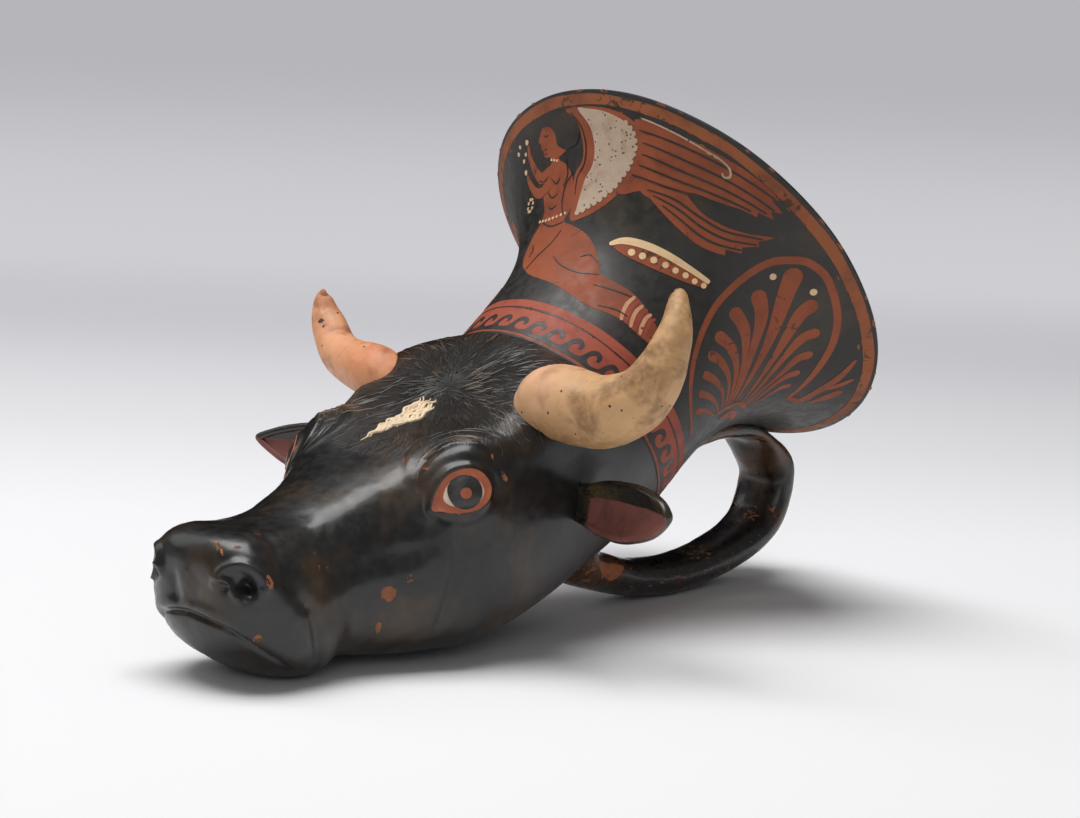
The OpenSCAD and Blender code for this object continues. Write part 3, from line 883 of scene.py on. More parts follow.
def lay_strands(name, paths, material, slot, corners=0):
    """Raised strands along paths of (place, radius in mm), as curves turned into a mesh."""
    put_down()
    drawing = bpy.data.curves.new(name, "CURVE")
    drawing.dimensions = "3D"
    drawing.bevel_depth = MM
    drawing.bevel_resolution = corners
    drawing.use_fill_caps = True
    for line, radii in paths:
        spline = drawing.splines.new("POLY")
        spline.points.add(len(line) - 1)
        co = np.ones((len(line), 4))
        co[:, :3] = np.asarray(line) * MM
        spline.points.foreach_set("co", co.ravel())
        spline.points.foreach_set("radius", np.asarray(radii, float))
    piece = bpy.data.objects.new(name, drawing)
    bpy.context.scene.collection.objects.link(piece)
    pick(piece)
    bpy.ops.object.convert(target="MESH")
    piece = bpy.context.active_object
    piece.data.name = name
    shade(piece, 60)
    return finish_piece(piece, slot, material)


def follow(surface, start, steps, way, lift):
    """A line on the head from a start, each step laid back on its surface."""
    line = []
    place = np.asarray(start, float)
    for k in range(steps):
        near, normal, _, _ = surface.find_nearest(Vector(place) * MM)
        if near is None:
            break
        line.append(np.array(near) / MM + np.array(normal) * lift)
        place = np.array(near) / MM + way(k)
    return line


def hair_paths(surface, count, seed):
    """Short tapering strands that spread from the poll, thick near it and sparse over the brow."""
    luck = np.random.default_rng(seed)
    paths = []
    while len(paths) < count:
        around = luck.uniform(-math.pi, math.pi)
        reach = 0.5 + 30.5 * luck.random() ** 0.75 if len(paths) > 60 else 6 * math.sqrt(luck.random())
        across = math.sin(around)
        ahead = -math.cos(around)
        way = across * SIDE + ahead * WHORL_BACK
        seat = WHORL + way * reach + WHORL_OUT * 25
        near, normal, _, _ = surface.ray_cast(Vector(seat) * MM, Vector(-WHORL_OUT))
        if near is None:
            continue
        near = np.array(near) / MM
        if (near - NECK) @ AXIS > -1.0 or near[2] < 44:
            continue
        left = np.abs(near * [1, 0, 0]) + near * [0, 1, 1]
        if near_line(left[None], BROW_HIGH)[0][0] < 1.5:
            continue
        swirl = (0.25 + 0.5 * max(0, 1 - reach / 10)) * luck.standard_normal() + 0.25
        turned = way * math.cos(swirl) + np.cross(WHORL_OUT, way) * math.sin(swirl)
        bend = luck.uniform(-0.05, 0.05)
        long = luck.uniform(0.5, 0.95)
        steps = 7

        def stepped(k):
            swing = bend * k
            return (turned * math.cos(swing) + np.cross(WHORL_OUT, turned) * math.sin(swing)) * long
        line = follow(surface, near, steps, stepped, 0.0)
        wide = luck.uniform(0.11, 0.2)
        radii = [wide * (0.15 + 0.85 * math.sin(math.pi * (k + 0.6) / steps)) for k in range(len(line))]
        paths.append((line, radii))
    return paths


def brow_paths(surface, side, seed):
    """Long fine strands round the brow, over its ridges."""
    luck = np.random.default_rng(seed)
    paths = []
    low = evened(refined(BROW_LOW, 4), 60)
    high = evened(refined(BROW_HIGH, 4), 60)
    for k in range(26):
        height = luck.uniform(-0.15, 1.15)
        first = luck.integers(2, 34)
        length = luck.integers(8, 20)
        line = mix(low, high, height)[first:first + length:2] * [side, 1, 1]
        laid = []
        for place in line:
            near, normal, _, _ = surface.find_nearest(Vector(place) * MM)
            laid.append(np.array(near) / MM)
        n = len(laid)
        paths.append((laid, [0.16 * math.sin(math.pi * (j + 0.6) / n) + 0.02 for j in range(n)]))
    return paths


def forelock_paths(surface):
    """The cream mark on the forehead: wavy locks that run together to a point at the front."""
    front = np.array([-3.7, -48.8, 49.3])
    rear = np.array([-0.6, -29.6, 57.2])
    along = rear - front
    across = np.cross(along / np.linalg.norm(along), WHORL_OUT)
    paths = []
    locks = [(-3.6, 0.42, 1.0, 0.0), (-2.7, 0.16, 1.04, 1.9), (-1.8, 0.30, 1.0, 3.9), (-1.1, 0.0, 1.05, 5.4),
        (-0.2, 0.03, 1.0, 1.2), (0.5, 0.22, 1.06, 3.2), (1.3, 0.1, 1.0, 4.9), (2.1, 0.30, 1.03, 0.6),
        (2.9, 0.45, 0.95, 2.5), (3.6, 0.6, 0.9, 4.2)]
    for offset, first, last, phase in locks:
        n = 34
        line = []
        radii = []
        for k in range(n):
            t = first + (last - first) * k / (n - 1)
            wave = math.sin(t * (22 + 2.1 * phase) + phase) + 0.4 * math.sin(t * 47 + 3 * phase)
            spread = (t ** 0.75) * offset + 0.6 * wave * min(1, t * 2.2 + 0.25)
            place = front + along * t + across * spread
            near, normal, _, _ = surface.find_nearest(Vector(place) * MM)
            line.append(np.array(near) / MM + np.array(normal) * 0.02)
            radii.append((0.38 + 0.2 * math.sin(math.pi * k / (n - 1))) * min(1, 0.25 + 4 * k / n,
                0.35 + 4 * (n - 1 - k) / n))
        paths.append((line, radii))
    return paths


# Bowl, horns, ears and handle


def model_bowl(settings):
    """The thrown bowl: a closed outline of its wall, spun round its axis."""
    outside = [(s, float(flare(s))) for s in np.linspace(COLLAR_L, BOWL_L - LIP_EDGE, 42)]
    lip = [(BOWL_L - LIP_EDGE + LIP_EDGE * math.sin(a), LIP_R - LIP_EDGE + LIP_EDGE * math.cos(a))
        for a in np.radians([30, 60, 90])]
    inner_lip = [(BOWL_L - LIP_EDGE + LIP_EDGE * math.cos(a), LIP_R - BOWL_WALL + LIP_EDGE - LIP_EDGE * math.sin(a))
        for a in np.radians([0, 30, 60, 90])]
    inside = [(s, float(flare(s)) - BOWL_WALL - 0.3 * math.sin(math.pi * (s - COLLAR_L) / 49))
        for s in np.linspace(BOWL_L - LIP_EDGE - 1.5, COLLAR_L, 26)]
    outline = ([(-SPIGOT_L, BORE_R + 0.6), (-SPIGOT_L, SPIGOT_R - 0.5), (-SPIGOT_L + 0.5, SPIGOT_R), (-0.3, SPIGOT_R),
        (-0.25, NECK_R + 0.05), (0.1, NECK_R + 0.12), (0.6, NECK_R)] + [(s, NECK_R) for s in (3, 6, 9)]
        + outside + lip + inner_lip + inside + [(8, 26.0), (4, 24.6), (0, BORE_R + 0.4), (-4, BORE_R),
        (-SPIGOT_L + 0.6, BORE_R)])
    put_down()
    bpy.ops.mesh.primitive_circle_add(vertices=len(outline), radius=0.01)
    piece = bpy.context.active_object
    piece.name = piece.data.name = "thrown_bowl"
    for corner, (s, r) in zip(piece.data.vertices, outline):
        corner.co = (NECK + AXIS * s + TOP * r) * MM
    bpy.ops.object.mode_set(mode="EDIT")
    bpy.ops.mesh.select_all(action="SELECT")
    bpy.ops.mesh.spin(steps=settings.bowl_steps, angle=2 * math.pi, center=NECK * MM, axis=AXIS)
    bpy.ops.mesh.select_all(action="SELECT")
    bpy.ops.mesh.remove_doubles(threshold=0.00002)
    bpy.ops.mesh.normals_make_consistent(inside=False)
    bpy.ops.object.mode_set(mode="OBJECT")
    points = places(piece)
    along = (points - NECK) @ AXIS
    away = points - NECK - np.outer(along, AXIS)
    turn = np.arctan2(away @ SIDE, away @ TOP)
    points = points + np.outer(rim_sway(turn, along), AXIS)
    set_places(piece, points)
    shade(piece, 50)
    return piece


# Places along a horn, as [share of half the spread, forward of the root in mm, share of the
# rise, share of the root's thickness], given for each horn
HORNS = {
    "left_horn": (1, 27.0, [[0.40, 0, -0.17, 0.74], [0.44, 0, -0.12, 0.86], [0.53, 0, -0.02, 0.98],
        [0.78, -1, -0.03, 0.93], [0.955, 1, 0.18, 0.77], [1.02, 5, 0.62, 0.49], [0.985, 8.8, 0.95, 0.23],
        [0.97, 9.4, 1, 0.10]]),
    "right_horn": (-1, 15.0, [[0.34, 0, -0.36, 0.66], [0.39, 0, -0.3, 0.70], [0.49, 0, -0.06, 0.76],
        [0.66, 3, -0.02, 0.66], [0.83, 6.5, 0.12, 0.57], [0.95, 9, 0.55, 0.45], [0.985, 9.4, 0.9, 0.25],
        [0.985, 9.3, 1, 0.12]]),
}
HORN_ROOT = np.array([0.0, -19.15, 60.37])


def section_rings(path, radii, count, flat=1.0):
    """Round rings across a path, kept from twisting."""
    rings = []
    for k, middle in enumerate(path):
        ahead = path[min(len(path) - 1, k + 1)] - path[max(0, k - 1)]
        ahead = ahead / np.linalg.norm(ahead)
        across = np.cross(ahead, [0, 1.0, 0])
        across /= np.linalg.norm(across)
        down = np.cross(ahead, across)
        a = np.arange(count) * 2 * math.pi / count
        rings.append(middle + radii[k] * (np.outer(np.cos(a), across) + flat * np.outer(np.sin(a), down)))
    return rings


def model_horn(name, settings):
    side, rise, shape = HORNS[name]
    shape = np.array(shape)
    path = refined(np.stack([shape[:, 0] * 58.5 * side, HORN_ROOT[1] + shape[:, 1],
        HORN_ROOT[2] + shape[:, 2] * rise], 1), 8)
    radii = refined(shape[:, 3:] * settings.horn_thickness * 500, 8)[:, 0]
    way = path[-1] - path[-2]
    way /= np.linalg.norm(way)
    end = radii[-1]
    for k in (0.5, 0.8, 0.96):
        path = np.concatenate([path, [path[-1] + way * end * 0.35]])
        radii = np.append(radii, end * math.sqrt(1 - k * k))
    piece = draw_out(name + "_slipped", section_rings(path, radii, 40))
    subdivide(piece, 1)
    points = places(piece)
    normals = directions(piece)
    lumps = 0.34 * rumple(points, 8.0, 11 + side) + 0.12 * rumple(points, 2.8, 20 + side)
    points = points + normals * lumps[:, None]
    set_places(piece, points)
    root = np.clip((43 - np.abs(points[:, 0])) / 14, 0, 1) * np.clip((points[:, 2] - HORN_ROOT[2] + 6) / 7, 0, 1)
    root *= np.clip(0.75 + 0.7 * rumple(points, 4.0, 31), 0, 1)
    layer = piece.data.attributes.new("root", "FLOAT", "POINT")
    layer.data.foreach_set("value", root.astype(np.float32))
    tip = np.clip((points[:, 2] - HORN_ROOT[2] - rise * 0.35) / (rise * 0.6), 0, 1)
    layer = piece.data.attributes.new("tip", "FLOAT", "POINT")
    layer.data.foreach_set("value", tip.astype(np.float32))
    # How far a place lies below the horn's root, for its darker underside
    under = np.clip((HORN_ROOT[2] - 2 - points[:, 2]) / 6, 0, 1)
    layer = piece.data.attributes.new("under", "FLOAT", "POINT")
    layer.data.foreach_set("value", under.astype(np.float32))
    shade(piece, 60)
    return piece


def model_ear(name, side, settings):
    """A leaf-shaped ear, its wall bent to a hollow in front, with a thick rolled rim."""
    root = np.array([25.2, -10.6, 36.3])
    tip = np.array([67.4, -21.7, 38.7])
    end = [[0.8, 0.86, 0.85], [0.92, 0.60, 0.5], [0.985, 0.30, 0.2], [1.0, 0.06, 0.0]]
    if side < 0:
        end = [[0.8, 0.70, 0.7], [0.92, 0.38, 0.4], [0.985, 0.15, 0.15], [1.0, 0.05, 0.0]]
    leaf = refined([[0, 0.55, 0.2], [0.25, 0.70, 0.3], [0.42, 0.93, 0.75], [0.62, 1, 1]] + end, 5)
    half_height = 7.2
    rings = []
    for share, tall, hollow in leaf:
        middle = mix(root, tip, share)
        high = max(0.4, half_height * tall)
        thick = min(1.25, high * 0.9)
        a = np.linspace(0, math.pi, 22)
        line = np.stack([settings.ear_hollow * 1000 * 0.62 * hollow * np.sin(a) ** 1.3, (high - thick) * np.cos(a)], 1)
        way = np.gradient(line, axis=0)
        way /= np.maximum(np.linalg.norm(way, axis=1, keepdims=True), 1e-9)
        across = np.stack([-way[:, 1], way[:, 0]], 1)
        wall = thick * (0.9 + 0.25 * np.sin(a))[:, None]
        back = line + across * wall
        front = line - across * wall * 0.8
        low_cap = [line[-1] + thick * (across[-1] * math.cos(b) + way[-1] * math.sin(b)) for b in np.radians([45, 90, 135])]
        high_cap = [line[0] + thick * (-across[0] * math.cos(b) - way[0] * math.sin(b)) for b in np.radians([45, 90, 135])]
        flat = np.concatenate([back, low_cap, front[::-1], high_cap])
        sag = np.array([0, 0, -0.9 * math.sin(math.pi * share)])
        rings.append(middle + sag + np.outer(flat[:, 0] - 0.6, [0.12, 1, 0]) + np.outer(flat[:, 1], [0, 0.10, 1]))
    piece = draw_out(name, [ring * [side, 1, 1] for ring in rings])
    subdivide(piece, 1)
    points = places(piece)
    normals = directions(piece)
    points = points + normals * (0.18 * rumple(points, 6.0, 41))[:, None]
    set_places(piece, points)
    facing = -normals[:, 1]
    share = (np.abs(points[:, 0]) - 25.2) / 42.2
    inner = np.clip((facing - 0.05) / 0.35, 0, 1) * np.clip((share - 0.24) / 0.1, 0, 1)
    tall = np.interp(share, leaf[:, 0], leaf[:, 1]) * half_height
    middle = root[2] + share * (tip[2] - root[2]) - 0.9 * np.sin(math.pi * np.clip(share, 0, 1))
    height = (points[:, 2] - middle) / tall
    inner *= np.clip((0.50 - 0.25 * share - height) / 0.12, 0, 1) * np.clip((height + 0.93) / 0.08, 0, 1)
    layer = piece.data.attributes.new("hollow", "FLOAT", "POINT")
    layer.data.foreach_set("value", inner.astype(np.float32))
    shade(piece, 60)
    return piece


def bowl_underside(share, depth):
    s = share * BOWL_L
    place = NECK + AXIS * s - TOP * (float(flare(s)) - depth)
    return place[1], place[2]


def model_handle(settings):
    """The strap: drawn out from the throat, round its loop and along the bowl, and pressed on it."""
    reach = 92.2
    t = 9.0
    w = settings.strap_width * 500
    rows = [[NECK[1] + f[0], f[1], NECK[1] + f[2], f[3], f[4]] for f in [
        [0.0, 0.29 * NECK_H + 2.6, 0.10 * reach, 0.42 * NECK_H + 2.0, w * 1.1],
        [0.02 * reach, 0.29 * NECK_H, 0.11 * reach, 0.42 * NECK_H, w * 1.25],
        [0.06 * reach, 0.175 * NECK_H, 0.155 * reach, 0.34 * NECK_H, w * 1.15],
        [0.16 * reach, 0.10 * NECK_H, 0.21 * reach, 0.10 * NECK_H + t, w * 1.05],
        [0.32 * reach, 0.024 * NECK_H, 0.345 * reach, 0.028 * NECK_H + t, w],
        [0.495 * reach, -0.012 * NECK_H, 0.49 * reach, t, w],
        [0.67 * reach, 0.026 * NECK_H, 0.642 * reach, 0.03 * NECK_H + t, w],
        [0.84 * reach, 0.125 * NECK_H, 0.84 * reach - t * 0.45, 0.125 * NECK_H + t * 0.88, w * 1.06],
        [0.953 * reach, 0.285 * NECK_H, 0.953 * reach - t * 0.85, 0.285 * NECK_H + t * 0.5, w * 1.1],
        [reach, 0.535 * NECK_H, reach - t, 0.535 * NECK_H, w * 1.12],
        [0.965 * reach, 0.74 * NECK_H, 0.975 * reach - t * 0.95, 0.68 * NECK_H - t * 0.3, w * 1.12]]]
    for share, depth, thick, wide in ((0.88, 2.6, t * 0.62, 1.1), (0.74, 2.4, t * 0.58, 1.08),
            (0.6, 2.2, t * 0.55, 1.04), (0.46, 2.2, t * 0.50, 0.98), (0.32, 2, t * 0.40, 0.86),
            (0.2, 1, t * 0.2, 0.64), (0.15, 0.6, 0.1, 0.2)):
        rows.append([*bowl_underside(share, depth), *bowl_underside(share, -thick), w * wide])
    rings = []
    for q in refined(rows, 6):
        a = np.array([0, q[0], q[1]])
        b = np.array([0, q[2], q[3]])
        turn = np.arange(44) * 2 * math.pi / 44
        c = np.sign(np.cos(turn)) * np.abs(np.cos(turn)) ** 0.85
        s = np.sign(np.sin(turn)) * np.abs(np.sin(turn)) ** 0.85
        rings.append(b + np.outer(0.5 + 0.5 * c, a - b) + np.outer(q[4] * s, SIDE))
    piece = draw_out("strap_handle", rings)
    subdivide(piece, 1)
    points = places(piece)
    normals = directions(piece)
    points = points + normals * (0.22 * rumple(points, 9.0, 51) + 0.08 * rumple(points, 3.0, 52))[:, None]
    points[:, 2] = np.maximum(points[:, 2], 0)
    set_places(piece, points)
    shade(piece, 60)
    return piece


# Painting on the bowl, in degrees of turn from its top and millimetres from the neck joint

WAVES = 37
WAVE_START = 15.1
# One wave of the collar, as [share of its pitch, height]
WAVE = [(-0.06, 3.0), (0.02, 3.8), (0.09, 4.8), (0.20, 5.9), (0.38, 6.65), (0.58, 6.7), (0.74, 6.1), (0.80, 5.2),
    (0.75, 4.35), (0.64, 4.2), (0.62, 4.8), (0.54, 5.3), (0.42, 5.2), (0.31, 4.5), (0.26, 3.6), (0.31, 2.8), (0.45, 2.35),
    (0.64, 2.3), (0.82, 2.6), (0.91, 2.85)]

# The palmette on each side: petals as points and widths in mm, from the heart to the tip
PETALS = [
    ([(116.5, 32.4), (99.7, 40.6), (83.0, 48.6), (77.2, 52.2)], (0.4, 2.2, 4.2, 4.9)),
    ([(120.8, 34.6), (103.6, 42.9), (91.5, 49.4), (89.0, 52.4)], (0.4, 1.9, 3.5, 4.0)),
    ([(123.1, 35.6), (108.3, 43.4), (100.3, 48.7), (99.3, 51.4)], (0.4, 1.6, 2.8, 3.2)),
    ([(124.8, 36.1), (115.0, 43.2), (108.6, 47.4), (108.0, 49.6)], (0.4, 1.4, 2.4, 2.8)),
    ([(126.9, 37.0), (119.4, 42.4), (116.2, 45.4), (115.8, 47.3)], (0.4, 1.2, 2.0, 2.3)),
    ([(129.4, 38.4), (125.0, 42.2), (122.6, 44.4), (122.4, 45.9)], (0.4, 1.0, 1.6, 1.9)),
    ([(115.3, 31.4), (97.0, 38.1), (83.9, 43.5), (77.0, 45.0)], (0.4, 1.9, 3.4, 4.0)),
    ([(115.5, 30.4), (97.0, 36.2), (85.1, 39.0), (76.8, 39.2)], (0.4, 1.6, 2.9, 3.4)),
    ([(115.5, 29.5), (100.4, 33.3), (88.8, 34.4), (80.4, 33.3)], (0.4, 1.5, 2.5, 3.0)),
    ([(115.5, 28.6), (101.3, 30.9), (91.0, 30.6), (84.6, 29.2)], (0.4, 1.2, 2.1, 2.6)),
    ([(115.3, 27.4), (105.0, 28.2), (96.0, 27.1), (90.0, 25.3)], (0.4, 1.0, 1.8, 2.3)),
    ([(115.0, 26.1), (107.5, 25.6), (100.6, 23.9), (95.6, 21.8)], (0.4, 0.9, 1.5, 2.0)),
    ([(114.5, 24.6), (110.0, 23.1), (105.5, 21.2), (102.0, 19.0)], (0.4, 0.8, 1.3, 1.7)),
]
PALMETTE_EDGE = [(109.0, 14.6), (99.0, 16.0), (89.3, 18.5), (82.8, 21.4), (77.4, 24.9), (71.8, 30.2), (67.7, 36.3),
    (66.5, 41.9), (66.7, 47.0), (68.1, 50.9), (71.2, 53.8), (74.7, 56.0), (80.9, 57.3), (87.9, 57.2), (96.6, 56.4),
    (105.6, 54.8), (113.5, 52.8), (122.4, 50.4), (131.9, 47.6)]

# The seated winged figure, a plain one of its kind
BODY = [(-25.5, 49.0), (-27.2, 46.0), (-26.2, 43.0), (-24.6, 40.2), (-26.6, 37.2), (-30.2, 34.5), (-31.2, 31.0),
    (-28.2, 27.0), (-20.0, 23.2), (-9.9, 20.4), (6.0, 18.5), (25.4, 16.2), (41.4, 17.7), (52.0, 17.4), (61.0, 18.0),
    (65.0, 19.4), (60.0, 21.6), (51.5, 23.4), (40.0, 25.3), (29.0, 25.4), (22.0, 25.6), (17.4, 28.8), (7.5, 33.6),
    (-3.0, 35.8), (-9.3, 37.0), (-7.6, 40.2), (-8.0, 44.0), (-10.8, 47.4), (-14.6, 49.6), (-17.3, 50.4),
    (-17.6, 52.2), (-20.6, 52.0), (-21.8, 50.3)]
HEAD = [(-14.1, 51.8), (-12.3, 54.0), (-13.1, 56.4), (-17.0, 57.9), (-22.2, 57.6), (-25.3, 56.4), (-27.8, 54.9),
    (-26.6, 54.4), (-26.8, 53.5), (-25.7, 53.0), (-25.5, 51.9), (-22.2, 51.4), (-19.9, 50.7)]
HAIR = [(-13.6, 52.0), (-9.2, 52.7), (-7.9, 54.8), (-10.2, 57.0), (-15.7, 58.4), (-21.9, 58.4), (-25.1, 57.0),
    (-21.2, 56.4), (-18.8, 55.1), (-18.3, 53.3), (-16.2, 52.5)]
ARMS = [
    ([(-23.5, 48.6), (-28.6, 48.4), (-32.6, 50.8), (-34.6, 53.6), (-34.2, 55.2)], (3.4, 2.9, 2.3, 1.8, 1.3)),
    ([(-22.5, 46.6), (-28.5, 45.4), (-33.5, 46.6), (-37.4, 49.2), (-38.6, 50.8)], (3.4, 2.8, 2.3, 1.8, 1.3)),
]
WING = [(-13.2, 58.2), (-8.8, 55.9), (-6.3, 52.6), (-6.2, 49.6), (-9.0, 47.0), (-8.2, 42.0), (-6.0, 37.2),
    (-0.6, 37.8), (5.0, 39.8), (10.6, 43.2), (14.4, 47.4), (16.2, 52.0), (14.8, 55.4), (10.4, 57.4), (3.0, 58.3),
    (-6.0, 58.5)]
WING_WHITE = [(-8.4, 58.2), (-3.6, 55.4), (-1.2, 51.8), (-1.4, 48.8), (-3.6, 46.2), (-4.4, 42.4), (-4.0, 38.9),
    (-1.0, 39.8), (3.8, 41.8), (8.6, 44.8), (12.0, 48.4), (13.6, 52.2), (12.4, 55.0), (8.6, 56.8), (2.0, 57.8),
    (-5.0, 58.2)]
FEATHERS = [
    [(11.5, 57.6), (22.0, 57.7), (34.0, 57.9), (44.0, 58.3), (52.0, 58.5), (57.0, 58.3), (55.6, 57.5), (60.2, 57.3),
        (57.6, 56.2), (59.8, 55.6), (55.4, 54.7), (56.0, 54.0), (51.0, 53.2), (46.6, 52.1), (41.0, 51.2), (36.9, 50.7),
        (30.0, 48.9), (24.0, 47.5), (18.0, 46.0), (12.5, 44.6), (12.0, 50.0)],
    [(20.0, 46.4), (24.5, 45.9), (29.0, 44.9), (34.4, 44.0), (40.0, 43.4), (46.4, 43.2), (52.0, 43.8), (57.4, 45.3),
        (56.0, 46.1), (60.8, 47.7), (59.6, 48.6), (63.0, 50.8), (61.8, 51.3), (64.0, 53.8), (58.5, 51.3), (52.8, 49.6),
        (47.0, 48.7), (41.7, 48.6), (37.0, 49.3), (33.0, 50.0), (27.0, 48.6)],
]
QUILLS = [
    [(13.5, 56.2), (28.0, 56.4), (42.0, 57.0), (56.0, 57.9)], [(15.5, 54.5), (30.0, 54.6), (44.0, 55.5), (58.0, 56.6)],
    [(16.4, 52.7), (30.0, 52.8), (43.0, 53.9), (57.0, 55.4)], [(16.2, 50.8), (29.0, 51.0), (41.0, 52.2), (53.5, 54.0)],
    [(15.0, 48.8), (27.0, 49.1), (38.0, 50.4), (47.0, 52.1)],
    [(22.0, 47.2), (32.0, 47.9), (42.0, 47.7), (52.0, 48.6), (62.0, 52.0)],
    [(25.0, 46.7), (35.0, 46.7), (45.0, 46.4), (54.0, 47.6), (62.0, 50.6)],
    [(29.5, 45.8), (38.0, 45.2), (46.0, 44.9), (53.0, 45.8), (60.0, 48.0)],
]
FIGURE_LINES = [
    [(-20.0, 23.6), (-17.0, 27.6), (-12.0, 31.0), (-9.0, 34.6)], [(-9.6, 36.8), (-16.0, 36.0), (-22.0, 37.2), (-26.0, 38.8)],
    [(-9.9, 47.6), (-13.2, 45.2), (-13.6, 41.6), (-11.2, 38.6)], [(-22.0, 47.4), (-18.6, 46.0), (-16.8, 47.0)],
    [(-23.4, 44.6), (-20.4, 43.2), (-17.2, 43.8)], [(-22.0, 41.2), (-19.6, 40.6), (-16.8, 41.2)],
    [(-13.8, 50.0), (-12.6, 47.4), (-14.4, 45.0)], [(21.6, 25.4), (12.0, 23.8), (2.0, 24.6), (-6.0, 27.2)],
    [(18.0, 28.0), (12.8, 29.4), (8.6, 28.2)], [(40.0, 24.4), (30.0, 23.2), (22.4, 22.2)],
    [(30.0, 17.6), (38.0, 19.2), (44.0, 19.4)], [(57.0, 19.0), (60.6, 19.8), (63.6, 19.6)],
    [(-23.6, 48.0), (-26.8, 47.4), (-30.2, 48.2)], [(-26.0, 31.8), (-23.6, 30.0), (-24.4, 28.2)],
    [(-24.6, 55.5), (-23.4, 55.1), (-22.2, 55.3)], [(-25.0, 53.0), (-23.8, 53.15)],
]
DISH = [(18.8, 33.9), (22.0, 35.7), (27.0, 36.7), (34.0, 37.5), (41.8, 38.1), (50.0, 38.6), (58.6, 39.3), (60.6, 38.6),
    (59.6, 37.2), (54.0, 35.6), (48.9, 34.6), (41.0, 33.4), (33.6, 32.7), (27.0, 32.5), (22.0, 32.8)]
DISH_RIM = [(18.6, 33.8), (22.0, 35.3), (27.0, 36.3), (34.0, 37.1), (41.8, 37.7), (50.0, 38.2), (59.6, 39.0)]
DISH_DOTS = [(28.3, 33.9), (33.0, 34.4), (37.8, 35.0), (42.8, 35.6), (47.3, 36.0), (51.6, 36.6), (55.8, 37.0),
    (59.6, 37.7)]


def flipped(outline, side):
    """An outline on the bull's left side, or its twin on the right."""
    return [(x * side, y) for x, y in outline] if side > 0 else [(x * side, y) for x, y in outline][::-1]


def round_band(low, high, sway=0.0, seed=1):
    """A band all round the bowl, with a hand's sway in its edges, as twelve outlines end to end."""
    def edge(turn, s, k):
        a = np.radians(turn)
        return np.stack([turn, s + sway * (np.sin(3 * a + seed + k) + 0.6 * np.sin(8 * a + 2 * seed + k)
            + 0.4 * np.sin(19 * a + k))], 1)
    return [np.concatenate([edge(turn, low, 0.4), edge(turn, high, 1.7)[::-1]])
        for turn in (np.linspace(start, start + 30, 16) for start in range(-180, 180, 30))]


def wave_band():
    """The black running waves of the collar, one outline all round."""
    pitch = 360 / WAVES
    luck = np.random.default_rng(12)
    top = []
    for k in range(WAVES):
        start = -180 + (WAVE_START % pitch) + (k - 1) * pitch
        tall = 1 + luck.uniform(-0.04, 0.04)
        lean = luck.uniform(-0.03, 0.03)
        for share, s in WAVE:
            top.append((start + (share + lean * (s - 2.4) / 4) * pitch, 2.4 + (s - 2.4) * tall))
    top = refined(np.array(top), 3)
    top = top[(top[:, 0] > -179.6) & (top[:, 0] < 179.6)]
    first = int(np.argmax(top[:, 0] > -178))
    outline = [(-180, 1.05)] + [(t, 1.05 + 0.08 * math.sin(t * 0.2)) for t in range(-177, 178, 3)] + [(180, 1.05)]
    outline += [(180, 2.5)] + [tuple(p) for p in top[first:][::-1]] + [(-180, 2.5)]
    return outline


def paint_bands(rim_clay, deep_clay, black):
    slip_on_bowl("rim_line", [round_band(58.7, 60.25, 0.09)], 0.05, rim_clay)
    luck = np.random.default_rng(21)
    worn = []
    for k in range(26):
        centre = np.array([-70 + 8.6 * k + luck.uniform(-3, 3), 60.75 if k % 3 else 58.1 + luck.uniform(-0.3, 0.2)])
        a = np.arange(10) * 2 * math.pi / 10
        size = luck.uniform(0.25, 0.55) * luck.uniform(0.7, 1.2, (10, 1))
        worn.append(centre + size * np.stack([2.4 * np.cos(a), 0.7 * np.sin(a)], 1) / bowl_scale(centre[None])[0])
    slip_on_bowl("worn_lip", [worn], 0.04, rim_clay, depth=0.2)
    slip_on_bowl("collar_band", [round_band(0.12, 12.15, 0.09, 3)], 0.05, deep_clay)
    slip_on_bowl("running_waves", [[wave_band()]], 0.10, black, depth=0.2)
    slip_on_bowl("collar_line", [round_band(9.2, 9.62, 0.10, 5)], 0.10, black, depth=0.2)


